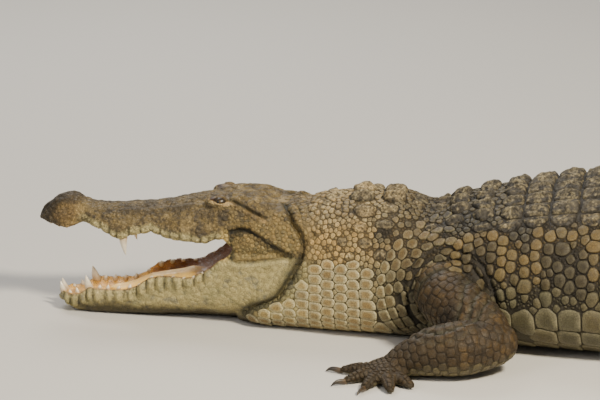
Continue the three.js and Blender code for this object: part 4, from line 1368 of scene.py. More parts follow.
class Rows:
    """Roots over neck, trunk and tail: x, y, z, half length, half width, height and kind of each."""

    def __init__(self, draw):
        self.draw = draw
        self.rows = []

    def put(self, station, arc, long, wide, height, kind, jitter):
        for side in (1, -1):
            s = station + jitter * self.draw.uniform(-1, 1)
            c = side * (arc + jitter * self.draw.uniform(-1, 1))
            self.rows.append([*body_point(s, c), long, wide, height, kind])

    def back(self):
        draw = self.draw
        for station, arc, long, wide, height in NUCHAL:
            self.put(station, arc, long, wide, height, SCUTE, 1.5)
        for station in np.arange(TRUNK_FROM, TRUNK_TO, FLANK_PITCH):
            scale = half_girth(station) / GIRTH_AT_SCUTES
            for arc, wide, height in SCUTE_ROWS:
                if station > 950 or arc < 150:
                    grown = draw.uniform(0.9, 1.06)
                    long, high = SCUTE_HALF_LENGTH * grown, height * draw.uniform(0.85, 1.1)
                    self.put(station, arc * scale, long, wide * scale * grown, high, SCUTE, 3)
            if station > 1080:
                self.put(station + 6, 262 * scale, 24 * draw.uniform(0.85, 1.05), 18, 5, PEBBLE, 4)

    def flank(self):
        for number, station in enumerate(np.arange(TRUNK_FROM - 12, TRUNK_TO, FLANK_PITCH / 2.4)):
            scale = half_girth(station) / GIRTH_AT_SCUTES
            offset = 13 * (number % 2)
            for arc in FLANK_ARCS:
                lower = 1 + 0.16 * smooth_step(arc, 285, 330) + 0.14 * smooth_step(arc, 330, 370)
                grown = self.draw.uniform(0.82, 1.12) * lower
                self.put(station, (arc + offset) * scale, 13.0 * grown, 15.6 * grown, 3.6, PEBBLE, 3.4)

    def belly(self):
        station, number = THROAT_FROM, 0
        while station < TRUNK_TO:
            grow = smooth_step(station, 680, 930)
            pitch = THROAT_PITCH + (BELLY_PITCH - THROAT_PITCH) * grow
            wide = THROAT_WIDTH + (BELLY_WIDTH - THROAT_WIDTH) * grow
            girth = half_girth(station)
            first = girth * (0.4 + (BELLY_SHARE - 0.4) * grow)
            offset = wide / 2 * (number % 2) * (1 - grow)
            half_length, half_width = pitch * (0.6 + 0.06 * grow), wide * (0.58 + 0.12 * grow)
            for arc in np.arange(first + wide / 2 + offset, girth - wide * 0.3, wide):
                self.put(station, arc, half_length, half_width, 2.6 + 1.2 * grow, SHINGLE, 1.2)
            station += pitch
            number += 1

    def tail(self):
        station = TRUNK_TO + 18.0
        while station < TOTAL_LENGTH - 22:
            pitch = TAIL_PITCH - 14 * smooth_step(station, 2900, 3600)
            room = half_girth(station) - CREST_ROOM
            count = int(max(round(room / TAIL_WIDTH), 3))
            wide = room / count
            for k in range(count):
                kind, height = (SCUTE, 9) if k < 2 and station < 2900 else (SHINGLE, 3.2)
                self.put(station, CREST_ROOM + (k + 0.5) * wide, pitch * 0.52, wide * 0.51, height, kind, 1.0)
            station += pitch


def body_seeds(draw):
    body = Rows(draw)
    body.back()
    body.flank()
    body.belly()
    body.tail()
    return body.rows


def half_width_at(station, height):
    """Half width of the body at a height."""
    belt = BODY.belt(station)
    low = height < belt
    reach = belt + SINK if low else BODY.top(station) - belt
    power = BODY.bottom_power(station) if low else BODY.top_power(station)
    return BODY.half_width(station) * (1 - min(abs(height - belt) / reach, 0.999) ** power) ** (1 / power)


def back_at(station, offset):
    """Height of the back at an offset from the spine."""
    belt, power = BODY.belt(station), BODY.top_power(station)
    drop = 1 - min(abs(offset / BODY.half_width(station)), 0.999) ** power
    return belt + (BODY.top(station) - belt) * drop ** (1 / power)


SHOULDER = np.array([908.0, 118.0])  # station and height of the ringed shoulder's middle
SHOULDER_RINGS = (80, 96, 113, 131, 150)
SHOULDER_PITCH = 27


def shoulder_seeds(draw):
    """Long plates in rings ahead of and over the root of each arm."""
    rows = []
    for side, shift in ((1, 0), (-1, RIGHT_ARM_BACK)):
        for ring, radius in enumerate(SHOULDER_RINGS):
            step = SHOULDER_PITCH / radius
            for turn in np.arange(-1.1 + 0.5 * step * (ring % 2), 1.55, step):
                y, z = SHOULDER + radius * np.array([-np.cos(turn), np.sin(turn)]) + (shift, 0)
                if z >= 16:
                    grown = draw.uniform(0.92, 1.05)
                    x = side * half_width_at(y, z)
                    rows.append([x, y, z, 10.6 * grown, 15 * grown, 4.4, SHINGLE])
    return rows


def round_path(path, i, turn):
    """A point on a limb's surface, beside sample i of its path."""
    centres, wide, high, _, across, upward = path
    return centres[i] + wide[i] * np.cos(turn) * across[i] + high[i] * np.sin(turn) * upward[i]


def segment_seeds(marks, pitch, girth, first, draw):
    """Rings of plates round one segment of a limb."""
    rows = []
    path = limb_path(marks, 60)
    run = run_of(path[0])
    for ring, at in enumerate(np.arange(first * run[-1], run[-1], pitch)):
        i = int(np.interp(at, run, np.arange(len(run))))
        count = max(int(2 * np.pi * (path[1][i] + path[2][i]) / 2 / girth), 6)
        for k in range(count):
            turn = 2 * np.pi * (k + 0.5 * (ring % 2) + draw.uniform(-0.08, 0.08)) / count
            grown = draw.uniform(0.86, 1.05)
            size = pitch * 0.56 * grown, girth * 0.55 * grown
            rows.append([*round_path(path, i, turn), *size, 1.5, RING])
    return rows


def digit_seeds(marks):
    """Three rows of small plates down one finger or toe."""
    rows = []
    path = limb_path(marks, 40)
    run = run_of(path[0])
    for at in np.arange(0.06 * run[-1], run[-1] - 3, DIGIT_PITCH):
        i = int(np.interp(at, run, np.arange(len(run))))
        for degrees, half in ((90, 0.62), (28, 0.4), (152, 0.4)):
            point = round_path(path, i, np.radians(degrees))
            rows.append([*point, DIGIT_PITCH * 0.5, path[1][i] * half, 1.9, RING])
    return rows


def palm_seeds(marks):
    rows = []
    centres, wide, high, _, across, upward = limb_path(marks, 30)
    for ring, i in enumerate(range(2, 30, 5)):
        count = max(int(1.3 * wide[i] / 8), 3)
        for k in range(count):
            share = (k + 0.5 + 0.25 * (ring % 2)) / count * 2 - 1
            point = centres[i] + 0.92 * wide[i] * share * across[i] + high[i] * upward[i]
            rows.append([*point, 5.6, 6.2, 1.4, RING])
    return rows


def limb_seeds(draw):
    """Plates over arms and legs, down the fingers and toes and on the backs of hands and feet."""
    rows = []
    for plan, side, shift in LEGS.values():
        rows += segment_seeds(placed(plan["upper"], side, shift), pitch=16, girth=21, first=0.1, draw=draw)
        rows += segment_seeds(placed(plan["lower"], side, shift), pitch=17, girth=22, first=0.04, draw=draw)
        for digit in plan["digits"]:
            rows += digit_seeds(digit_marks(plan, side, shift, digit))
        rows += palm_seeds(placed(plan["palm"], side, shift))
    return rows


# Lines of the head that stay free of scales, and the room on either side.
BARE_LINES = ((NOSTRIL, 4), (EAR, 5.6), (GAPE, 7), (NECK_FOLD, 6), (CORNER_LINE, 4.5), (CHEEK_LINE, 3.5))


def fill_sizes(where):
    """Half length, half width, height and kind of the scales that fill each place, 0 for none."""
    x, y, z = np.abs(where.points[:, 0]), where.points[:, 1], where.points[:, 2]
    left = np.c_[x, y, z]
    station, share = where.station, where.share
    trunk = (station >= 900) & (station < TRUNK_TO)
    limbs = where.limb_weight > 0.35
    head = (y < 596) & ~where.lining & ~limbs
    skull, jaw = head & (where.upper > 0.5), head & (where.upper <= 0.5)
    neck = (station > 596) & (station < 915) & (share < 0.58)
    grown = smooth_step(station, 720, 880)[neck]
    outer, above, gap = lid_place(where.points)
    eyeball = (gap < EYE_RADIUS + 0.8) | ((outer < 0.62) & (np.abs(above) < 6.5))
    near_ear = path_distance(left, EAR)[0] < 14
    bare = [path_distance(left, path)[0] < room for path, room in BARE_LINES]
    fills = (
        (neck, 5.4 + 6 * grown, 6.2 + 7 * grown, 1.5 + 2.3 * grown, PEBBLE),
        (neck & (share < 0.2), 6.2, 6.6, 3, PEBBLE),
        (trunk & (share > 0.285) & (share < BELLY_SHARE), 8.6, 9.8, 3.2, PEBBLE),
        ((station > 895) & (station < 1010) & (share < 0.3), 7, 7.6, 3, PEBBLE),
        (limbs, 8, 8.6, 1.3, RING),
        (skull, 5.6, 4.6, 0.5, PLATE),
        (skull & (z > 245) & (y > 380), 8.4, 8.0, 0.9, PLATE),
        (jaw, 8.4, 6.4, 0.22, PLATE),
        (skull & (z < UPPER.lip_z(y) + 15) & (y < 425), 5.4, 5.6, 0.8, PLATE),
        (jaw & (z > LOWER.row_z(y) - 14) & (y < 425), 4.2, 4.4, 0.4, PLATE),
        (head & (y > 416) & (z < 250) & (z > cheek_line(y)), 4.4, 4.2, 1.3, PEBBLE),
        (head & (past_jaw(where.points) > 3), 5.6, 5.8, 1.6, PEBBLE),
        (head & (outer < 2.3), 2.6, 2.4, 0.55, PLATE),
        (head & near_ear, 4.2, 3.8, 0.7, PLATE),
        (eyeball | np.any(bare, axis=0), 0, 0, 0, PEBBLE),
    )
    long, wide, height = np.zeros((3, len(x)))
    kind = np.full(len(x), PEBBLE)
    for mask, half_length, half_width, high, sort in fills:
        long[mask], wide[mask], height[mask], kind[mask] = half_length, half_width, high, sort
    return long, wide, height, kind


GRANULE_HALF_SIZE = 3.6


def granule_sizes(where):
    """The same for the small fill between the scales of neck and flanks."""
    station, z = where.station, where.points[:, 2]
    filled = (station > 560) & (where.points[:, 1] > 560) & (z > 12) & (where.share < BELLY_SHARE - 0.01)
    bare = ((station < 640) & (z < 150)) | ((station > 940) & (where.share < 0.27))
    bare |= (where.limb_weight > 0.35) | (station > TRUNK_TO + 30)
    size = np.where(filled & ~bare, GRANULE_HALF_SIZE, 0)
    return size, size, size * 0.42, np.full(len(size), GRANULE)


def reach_along(direction, lie, across, long, wide):
    """Half size of each scale in each direction."""
    u, v = (direction * lie).sum(-1) / long, (direction * across).sum(-1) / wide
    return 1 / np.sqrt(np.maximum(u * u + v * v, 1e-12))


def lie_of(where):
    """The way each scale points, to the tail or down the leg to the toes, and the way across it."""
    heading = HEADING(where.station)
    lie = np.stack([np.sin(heading), np.cos(heading), np.zeros(len(heading))], -1)
    for number, (name, (plan, side, shift)) in enumerate(LEGS.items()):
        axis, run = AXES[name]
        mine = (where.limb == number) & (where.limb_weight > 0.5)
        at = np.clip(np.searchsorted(run, where.along[mine]), 0, len(run) - 1)
        lie[mine] = axis[at, AHEAD]
        hand = mine & (where.along > run[-1] - 10)
        heel_x, heel_y = plan["heel"]
        fan = where.points[hand] - (side * heel_x, heel_y + shift + 12, 0)
        lie[hand] = unit(fan * (1, 1, 0))
    for side, shift in ((1, 0), (-1, RIGHT_ARM_BACK)):
        inward = np.r_[0, SHOULDER + (shift, 0)] - where.points
        inward[:, 0] = 0
        away = np.linalg.norm(inward, axis=1)
        ringed = (away < 158) & (inward[:, 1] > -12) & (side * where.points[:, 0] > 110)
        ringed &= where.limb_weight < 0.5
        lie[ringed] = inward[ringed] / np.maximum(away[ringed], 1)[:, None]
    lie -= where.normals * (lie * where.normals).sum(1)[:, None]
    lie = unit(lie + 1e-6)
    return lie, np.cross(where.normals, lie)


def tree_of(points):
    tree = KDTree(len(points))
    for i, point in enumerate(points):
        tree.insert(point, i)
    tree.balance()
    return tree


def picked_apart(kept, candidates, crowding):
    """Adds candidates, in their order, that stand clear of the kept scales and of each other."""
    lie, across, at, size = candidates["lie"], candidates["across"], candidates["at"], candidates["size"]
    tree = tree_of(at)
    free = np.ones(len(at), bool)
    biggest = size[:, :2].max()

    def clear(point, lie_i, across_i, long, wide):
        reach = crowding * (max(long, wide) + biggest)
        near = np.array([hit[1] for hit in tree.find_range(point, reach)], int)
        if not len(near):
            return
        gap = at[near] - point
        distance = np.linalg.norm(gap, axis=1)
        way = gap / np.maximum(distance, 1e-6)[:, None]
        mine = reach_along(way, lie_i, across_i, long, wide)
        theirs = reach_along(way, lie[near], across[near], size[near, 0], size[near, 1])
        free[near[distance < crowding * (mine + theirs)]] = False

    for i in range(len(kept["at"])):
        clear(kept["at"][i], kept["lie"][i], kept["across"][i], kept["size"][i, 0], kept["size"][i, 1])
    chosen = []
    for i in range(len(at)):
        if free[i]:
            chosen.append(i)
            clear(at[i], lie[i], across[i], size[i, 0], size[i, 1])
    chosen = np.array(chosen, int)
    return {key: np.concatenate([kept[key], candidates[key][chosen]]) for key in kept}


def on_skin(points, tree):
    """Nearest place of the skin to each point, its normal and how far off it is."""
    hits = [tree.find_nearest(point) for point in points]
    place, normal = np.array([hit[0] for hit in hits]), np.array([hit[1] for hit in hits])
    return place, normal, np.array([hit[3] for hit in hits])


def roots_at(at, normal, size, kind):
    """Roots of scales as one dictionary of arrays."""
    lie, across = lie_of(Places(at, normal))
    return {"at": at, "normal": normal, "lie": lie, "across": across, "size": size, "kind": kind}


def rooted(rows, tree, limit):
    """Puts rows of scales on the skin, and drops those too far from it."""
    at, normal, distance = on_skin(rows[:, :3], tree)
    good = distance <= limit
    return roots_at(at[good], normal[good], rows[good, 3:6], rows[good, 6].astype(int))


def scattered(points, triangles, normals, sizes, per_scale, draw):
    """Random places on the skin, closer where the scales are smaller."""
    long, wide, height, kind = sizes
    a, b, c = (points[triangles[:, k]] for k in range(3))
    area = np.linalg.norm(np.cross(b - a, c - a), axis=1) / 2
    first = triangles[:, 0]
    cell = np.pi * long[first] * wide[first]
    expected = np.where(cell > 0, per_scale * area / np.maximum(cell, 1), 0)
    total = int(expected.sum())
    chosen = np.searchsorted(np.cumsum(expected), draw.uniform(0, expected.sum(), total))
    chosen = np.minimum(chosen, len(triangles) - 1)
    s, t = draw.uniform(0, 1, (2, total))
    over = s + t > 1
    s[over], t[over] = 1 - s[over], 1 - t[over]
    at = a[chosen] + s[:, None] * (b - a)[chosen] + t[:, None] * (c - a)[chosen]
    corner = first[chosen]
    size = np.c_[long[corner], wide[corner], height[corner]] * draw.uniform(0.86, 1.14, (total, 1))
    return roots_at(at, normals[corner], size, kind[corner])


ROW_CROWDING = 0.66
# Sizes, crowding and how many places are tried for each scale that would fit.
FILLS = ((fill_sizes, 0.8, 5), (granule_sizes, 0.84, 3.4))


def all_seeds(points, triangles, normals, where, tree):
    """The rows first, then random fill between them."""
    draw = np.random.default_rng(7)
    rows = np.array(shoulder_seeds(draw) + body_seeds(draw) + limb_seeds(draw))
    laid = rooted(rows, tree, limit=15)
    shingle = laid["kind"] == SHINGLE
    jowl = shingle & (laid["at"][:, 1] < 610) & (past_jaw(laid["at"]) < 21)
    on_limb = shingle & (Places(laid["at"], laid["normal"]).limb_weight > 0.2)
    laid = {key: value[~(jowl | on_limb)] for key, value in laid.items()}
    none = {key: value[:0] for key, value in laid.items()}
    seeds = picked_apart(none, laid, ROW_CROWDING)
    for sizes, crowding, per_scale in FILLS:
        more = scattered(points, triangles, normals, sizes(where), per_scale, draw)
        seeds = picked_apart(seeds, more, crowding)
    return seeds


# ---------------------------------------------------------------- shapes of the scales

NEIGHBOURS = 18


def kin(at):
    """The nearest other roots of each root."""
    tree = tree_of(at)
    return np.array([[hit[1] for hit in tree.find_n(point, NEIGHBOURS + 1)][1:] for point in at])


# How sharp the corners of each kind are.
CORNERS = {GRANULE: 9.0, PEBBLE: 13.0, SHINGLE: 20.0, PLATE: 22.0, SCUTE: 14.0, RING: 18.0}

# Sides of each kind, its rings, and the gap to its neighbours. A ring is its share of the way to the rim,
# and its height as a share of the scale's own.
SHAPES = {
    GRANULE: (8, ((1.0, -0.5), (0.74, 0.7), (0.0, 1.05)), 0.5),
    PEBBLE: (14, ((1.0, -0.35), (0.95, 0.6), (0.82, 0.94), (0.0, 1.02)), 0.25),
    SHINGLE: (18, ((1.0, -0.25), (0.97, 0.7), (0.88, 0.96), (0.42, 1.0), (0.0, 1.0)), 0.0),
    SCUTE: (
        40,
        (
            (1.0, -0.3), (0.98, 0.12), (0.93, 0.4), (0.86, 0.57), (0.77, 0.68), (0.67, 0.77), (0.56, 0.84),
            (0.45, 0.9), (0.34, 0.94), (0.23, 0.97), (0.12, 0.99), (0.0, 1.0),
        ),
        0.9,
    ),
    RING: (14, ((1.0, -0.45), (0.93, 0.7), (0.8, 0.95), (0.0, 1.04)), 0.55),
    PLATE: (10, ((1.0, -0.9), (0.9, 0.92), (0.0, 1.0)), 0.22),
}


def pull(gaps, lie, across, long, wide):
    """The way out of a scale's oval at the place of each gap."""
    u = (gaps * lie).sum(-1) / long**2
    v = (gaps * across).sum(-1) / wide**2
    return unit(u[..., None] * lie + v[..., None] * across)


def rims(seeds, chosen, near, count, gap, corner, draw):
    """Reach of each scale in count directions, where it meets its neighbours."""
    at, lie, across = seeds["at"][chosen], seeds["lie"][chosen], seeds["across"][chosen]
    long, wide = seeds["size"][chosen, 0], seeds["size"][chosen, 1]
    turn = 2 * np.pi * (np.arange(count) + draw.uniform(0, 1, (len(chosen), 1))) / count
    ways = np.cos(turn)[..., None] * lie[:, None] + np.sin(turn)[..., None] * across[:, None]
    kin_of = near[chosen]
    gaps = seeds["at"][kin_of] - at[:, None]
    toward = gaps / norm(gaps)
    own_oval = lie[:, None], across[:, None], long[:, None], wide[:, None]
    sizes = seeds["size"][kin_of]
    their_oval = seeds["lie"][kin_of], seeds["across"][kin_of], sizes[..., 0], sizes[..., 1]
    mine, theirs = reach_along(toward, *own_oval), reach_along(toward, *their_oval)
    wall = unit(pull(gaps, *own_oval) + pull(gaps, *their_oval))
    offset = np.maximum((wall * gaps).sum(-1) * mine / (mine + theirs), 0.3)
    facing = np.maximum(np.einsum("nmx,nkx->nmk", wall, ways), 0)
    crowd = ((facing / offset[..., None]) ** corner).sum(1)
    square = np.isin(seeds["kind"][chosen], (SHINGLE, RING, SCUTE))
    power = np.where(square, 4.0, 2.0)[:, None]
    own = np.abs(np.cos(turn) / long[:, None]) ** power + np.abs(np.sin(turn) / wide[:, None]) ** power
    own = own ** (1 / power) / np.where(square, 1.22, 1.3)[:, None]
    reach = (crowd + own**corner) ** (-1 / corner)
    return turn, ways, np.maximum(reach * 0.98 - gap, 0.25 * np.minimum(long, wide)[:, None])


def rim_on_skin(at, reach, ways, tree):
    """Place and normal of each rim point on the skin; the reach is cut where it would stray off."""
    place, way, away = on_skin((at[:, None] + reach[..., None] * ways).reshape(-1, 3), tree)
    strayed = away > 0.4 * reach.reshape(-1) + 0.6
    if strayed.any():
        reach = np.where(strayed.reshape(reach.shape), 0.55 * reach, reach)
        short_rim = (at[:, None] + reach[..., None] * ways).reshape(-1, 3)[strayed]
        place[strayed], way[strayed], _ = on_skin(short_rim, tree)
    return place.reshape(ways.shape), way.reshape(ways.shape), reach


def lifts(kind, base, share, level, height, u, v, tilt):
    """Height of the points of one ring over the skin; u runs along the scale and v across it."""
    lift = level * height * np.ones_like(u)
    if kind == SHINGLE:
        lift = lift * np.where(level > 0, 0.4 + 0.44 * (u + 1), 1)
    if level <= 0:
        return lift
    if kind == SCUTE:
        keel = np.exp(-((v / 0.24) ** 2)) * (0.3 + 0.36 * (u + 1)) * (1 - share**5)
        rough = (fractal(base, 12, 101, 2) * 2.3 + noise(base, 5, 104) * 1.3) * (1 - share**8)
        sunk = np.exp(-(((np.abs(v) - 0.5) / 0.2) ** 2)) * 0.1
        ridge = height * (0.42 * keel - sunk * (1 - share**3))
        return lift * 0.66 + ridge + rough * np.minimum(height / 8, 1)
    return lift * (1 + tilt[:, 0] * u + tilt[:, 1] * v) + height * 0.08 * noise(base, 6, 103)


def scale_faces(count, rings):
    """Quads between the rings of one scale and triangles round its top."""
    k = np.arange(count)
    after = (k + 1) % count
    bands = [
        np.c_[r * count + k, r * count + after, (r + 1) * count + after, (r + 1) * count + k]
        for r in range(rings - 1)
    ]
    top = (rings - 1) * count
    return np.concatenate(bands), np.c_[top + k, top + after, np.full(count, rings * count)]


def grown_scales(seeds, near, chosen, kind, tree, draw):
    """Points, faces, place in the scale and owner of each point for scales of one kind."""
    count, profile, gap = SHAPES[kind]
    turn, ways, reach = rims(seeds, chosen, near, count, gap, CORNERS[kind], draw)
    at, normal = seeds["at"][chosen][:, None], seeds["normal"][chosen][:, None]
    place, way, reach = rim_on_skin(seeds["at"][chosen], reach, ways, tree)
    way = np.where((way * normal).sum(-1, keepdims=True) < 0.1, normal, way)
    span = place - at
    rise = (span * normal).sum(-1, keepdims=True) * normal
    flat = span - rise
    long, wide, height = (seeds["size"][chosen, k][:, None] for k in range(3))
    tilt = draw.uniform(-0.16, 0.16, (len(chosen), 2, 1))
    layers = []
    for share, level in profile:
        base = at + share * flat + share * share * rise
        out = unit((1 - share) * normal + share * way)
        u, v = share * reach * np.cos(turn) / long, share * reach * np.sin(turn) / wide
        layers.append(base + lifts(kind, base, share, level, height, u, v, tilt)[..., None] * out)
    verts = np.concatenate([*layers[:-1], layers[-1][:, :1]], 1)
    rings = len(profile) - 1
    per_scale = rings * count + 1
    start = (np.arange(len(chosen)) * per_scale)[:, None, None]
    quads, fans = scale_faces(count, rings)
    shares = np.r_[np.repeat([share for share, _ in profile[:-1]], count), 0.0]
    points = verts.reshape(-1, 3)
    points[:, 2] = np.maximum(points[:, 2], 0)
    return {
        "points": points,
        "quads": (quads + start).reshape(-1, 4),
        "fans": (fans + start).reshape(-1, 3),
        "share": np.tile(shares, len(chosen)),
        "turn": np.concatenate([np.tile(turn, (1, rings)), turn[:, :1]], 1).reshape(-1),
        "owner": np.repeat(chosen, per_scale),
    }


# ---------------------------------------------------------------- meshes


def mesh_object(name, points, faces, colours=None, uv=None, wet=None):
    """A mesh object from arrays: faces is a list of index arrays, uv a row for each point or corner."""
    mesh = bpy.data.meshes.new(name)
    sizes = np.concatenate([np.full(len(part), part.shape[1]) for part in faces])
    corners = np.concatenate([part.reshape(-1) for part in faces])
    mesh.vertices.add(len(points))
    mesh.vertices.foreach_set("co", ((points - (0, ORIGIN_STATION, 0)) * MM).astype(np.float32).reshape(-1))
    mesh.loops.add(len(corners))
    mesh.loops.foreach_set("vertex_index", corners.astype(np.int32))
    mesh.polygons.add(len(sizes))
    mesh.polygons.foreach_set("loop_start", np.r_[0, np.cumsum(sizes)[:-1]].astype(np.int32))
    mesh.update(calc_edges=True)
    mesh.shade_smooth()
    if colours is not None:
        tint = mesh.color_attributes.new("tint", "FLOAT_COLOR", "POINT")
        rgba = np.c_[np.clip(colours, 0, 1), np.ones(len(points))]
        tint.data.foreach_set("color", rgba.astype(np.float32).reshape(-1))
    if wet is not None:
        moist = mesh.attributes.new("wet", "FLOAT", "POINT")
        moist.data.foreach_set("value", np.asarray(wet, np.float32))
    if uv is not None:
        layer = mesh.uv_layers.new(name="OFBake")
        uv = uv if len(uv) == len(corners) else uv[corners]
        layer.data.foreach_set("uv", uv.astype(np.float32).reshape(-1))
    return in_scene(name, mesh)


def skin_uv(where, triangles):
    """An unwrap of the skin by its own shape: along and round the body, head, mouth and legs."""
    chart = where.chart()[triangles].min(1)
    uv = np.zeros((len(triangles), 3, 2))
    for number in range(CHARTS):
        mine = chart == number
        if mine.any():
            everywhere = where.unwrap(np.full(len(where.points), number))
            uv[mine] = everywhere[triangles[mine]]
    turn = uv[:, :, 1]
    across = turn.max(1) - turn.min(1) > 0.5
    turn[across] += turn[across] < 0.5
    uv[:, :, 1] = settle(chart[:, None], turn)
    return uv.reshape(-1, 2)


PATCH = 0.0015  # half size of a scale's patch in the unwrap


def root_uv(where):
    """The place of each root on the unwrap of the skin."""
    chart = where.chart()
    uv = where.unwrap(chart)
    uv[:, 1] = settle(chart, uv[:, 1])
    return uv


# ---------------------------------------------------------------- teeth, eyes, tongue and claws

# Station, length and radius of each tooth of one side, front to back.
UPPER_TEETH = (
    (14, 4, 3.4), (28, 7, 4.5), (45, 9, 5.5), (62, 7, 5), (76, 4, 3.6), (128, 4, 4), (148, 5, 4.5),
    (169, 6, 5), (191, 38, 7.6), (236, 4, 4.5), (266, 5, 5), (287, 5, 5), (309, 5, 4.6), (331, 4, 4.4),
    (353, 4, 4.2), (374, 4, 4), (392, 3, 3.6),
)
LOWER_TEETH = (
    (49, 20, 6), (66, 7, 4), (86, 12, 4.5), (112, 26, 7.5), (134, 7, 4), (154, 8, 4), (176, 7, 4),
    (200, 8, 4.2), (226, 4, 4.2), (252, 5, 5), (276, 3, 4.6), (300, 3, 4.4), (324, 3, 4.2), (346, 3, 4),
    (366, 3, 3.6),
)
TOOTH_ROOT = 9
# Share of the way from root to tip, below 0 in the gum, and share of the radius.
TOOTH_PROFILE = (
    (-1, 1.0), (-0.4, 1.12), (0, 1.1), (0.12, 1.0), (0.35, 0.82), (0.6, 0.58), (0.82, 0.32), (0.95, 0.13),
    (1, 0.03),
)
TOOTH_SIDES = 14
IVORY, IVORY_ROOT, IVORY_WORN = srgb(238, 230, 208), srgb(168, 132, 80), srgb(210, 190, 150)


def tooth(base, length, radius, up, side, draw):
    """Rings of one curved cone with its root in the gum, and the share of each point along it."""
    forward = 0.34 if up > 0 and base[1] < 120 else 0
    lean = np.array([draw.uniform(-0.06, 0.1) * side, draw.uniform(-0.02, 0.12) - forward, up])
    turn = 2 * np.pi * np.arange(TOOTH_SIDES) / TOOTH_SIDES
    rings, shares = [], []
    for share, width in TOOTH_PROFILE:
        height = share * (length if share > 0 else TOOTH_ROOT)
        bend = np.array([-side * 0.12, 0.2 - 0.4 * forward, 0]) * length * max(share, 0) ** 2
        centre = base + lean * height + bend * (0.6 if share > 0 else 0)
        ring = np.c_[np.cos(turn), 1.12 * np.sin(turn), 0 * turn] * radius * width
        rings.append(centre + ring)
        shares.append(np.full(TOOTH_SIDES, share))
    rings = np.array(rings if up > 0 else rings[::-1])
    shares = np.array(shares if up > 0 else shares[::-1])
    return rings, shares.reshape(-1)


def gather(solids):
    """Several lofts as one mesh: points, quads and end caps as triangles."""
    points, faces = joined(solids)
    quads = np.array([face for face in faces if len(face) == 4])
    caps = [face for face in faces if len(face) > 4]
    fans = np.array([[face[0], face[k], face[k + 1]] for face in caps for k in range(1, len(face) - 1)])
    return points, [quads, fans]


def make_teeth(name, rows, along_x, along_z, up):
    draw = np.random.default_rng(21 if up > 0 else 22)
    solids, shares = [], []
    for station, length, radius in rows:
        for side in (1, -1):
            at = station + draw.uniform(-1.5, 1.5)
            back = up > 0 and station > 215
            inset = radius + (1 if length > 15 else -0.5 if back else 7)
            base = np.array([side * (along_x(at) - inset), at, along_z(at) - (2.5 if back else 0.5 * up)])
            rings, share = tooth(base, length * draw.uniform(0.92, 1.05), radius, up, side, draw)
            solids.append(loft(rings))
            shares.append(share)
    points, faces = gather(solids)
    share = np.concatenate(shares)
    worn = 0.5 + 0.5 * noise(points, 7, 121)
    colours = blend(IVORY, IVORY_ROOT, (1 - smooth_step(share, -0.1, 0.5)) * (0.6 + 0.4 * worn))
    colours = blend(colours, IVORY_WORN, 0.5 * worn)
    return mesh_object(name, points, faces, colours)


EYE_WHITE, IRIS, IRIS_STREAK = srgb(48, 40, 30), srgb(78, 60, 32), srgb(58, 50, 28)
IRIS_RIM, PUPIL = srgb(40, 34, 22), srgb(6, 7, 9)
GAZE = (1.0, -0.28, 0.12)  # of the left eye


def make_eye(name, side):
    """An eyeball with a gold iris and an upright slit pupil."""
    points, faces = gather([ball(np.zeros(3), np.ones(3), 64)])
    gaze = unit(np.array(GAZE) * (side, 1, 1))
    across = unit(np.cross((0, 0, 1), gaze))
    upward = np.cross(gaze, across)
    toward, u, v = points @ gaze, points @ across, points @ upward
    radial = np.hypot(u, v)
    front = toward > 0
    pupil = (1 - smooth_step(np.hypot(u / 0.17, v / 0.52), 0.85, 1.1)) * front
    iris = (1 - smooth_step(radial, 0.56, 0.64)) * front
    streaks = 0.5 + 0.5 * noise(np.c_[np.arctan2(v, u) * 14, radial * 3, 0 * u], 1, 131)
    colours = blend(EYE_WHITE, IRIS, iris)
    colours = blend(colours, IRIS_STREAK, iris * streaks * 0.8)
    colours = blend(colours, IRIS_RIM, bump_at(radial, 0.6, 0.05) * front)
    colours = blend(colours, PUPIL, pupil)
    bulge = 1 + 0.05 * (1 - smooth_step(radial, 0.3, 0.7)) * front
    points = points * EYE_RADIUS * EYE_SQUASH * bulge[:, None] + eye_centre(side)
    return mesh_object(name, points, faces, colours)


TONGUE = srgb(246, 202, 108)
TONGUE_FROM, TONGUE_TO = 150, 414
TONGUE_TIP = 12  # length of the tip, which has closer rings
TONGUE_SIDES = 48
TONGUE_THICKNESS, TONGUE_BULGE = 9, 16
TONGUE_HALF_WIDTH = curve((150, 14), (165, 22), (200, 27), (300, 35), (370, 44), (415, 40))


def make_tongue():
    """The broad flat tongue, fast to the floor of the mouth."""
    tip_to = TONGUE_FROM + TONGUE_TIP
    y = np.r_[np.linspace(TONGUE_FROM, tip_to, 7)[:-1], np.linspace(tip_to, TONGUE_TO, 64)]
    turn = 2 * np.pi * np.arange(TONGUE_SIDES) / TONGUE_SIDES
    tip = np.sqrt(np.clip((y - TONGUE_FROM + 3) / 22, 0, 1))[:, None]
    x = TONGUE_HALF_WIDTH(y)[:, None] * tip * signed_power(np.cos(turn), 0.9)
    groove = -2.4 * np.exp(-((x / 6) ** 2)) * (np.sin(turn) > 0)
    bulge = (smooth_step(y, 175, 260) * (1 - smooth_step(y, 325, 362)))[:, None] * (np.sin(turn) > 0)
    half = (TONGUE_THICKNESS + TONGUE_BULGE * bulge) * np.maximum(tip, 0.35)
    z = LOWER.floor_z(y)[:, None] + 2 + half * np.sin(turn) + groove
    rings = np.stack([x, np.broadcast_to(y[:, None], x.shape), z], -1)
    rings[..., 2] += 0.7 * noise(rings, 9, 141) + 0.9 * noise(rings, 24, 142)
    points, faces = gather([loft(rings)])
    # the back of the tongue goes orange, then dark as painted shade in the depth of the mouth
    depth = smooth_step(points[:, 1] + 12 * noise(points, 30, 143), 325, 365)
    colours = blend(TONGUE, MOUTH_MID, depth)
    colours = blend(colours, MOUTH_DEEP, 0.7 * smooth_step(depth, 0.6, 1))
    return mesh_object("tongue_flesh", points, faces, colours, wet=np.full(len(points), 0.8))


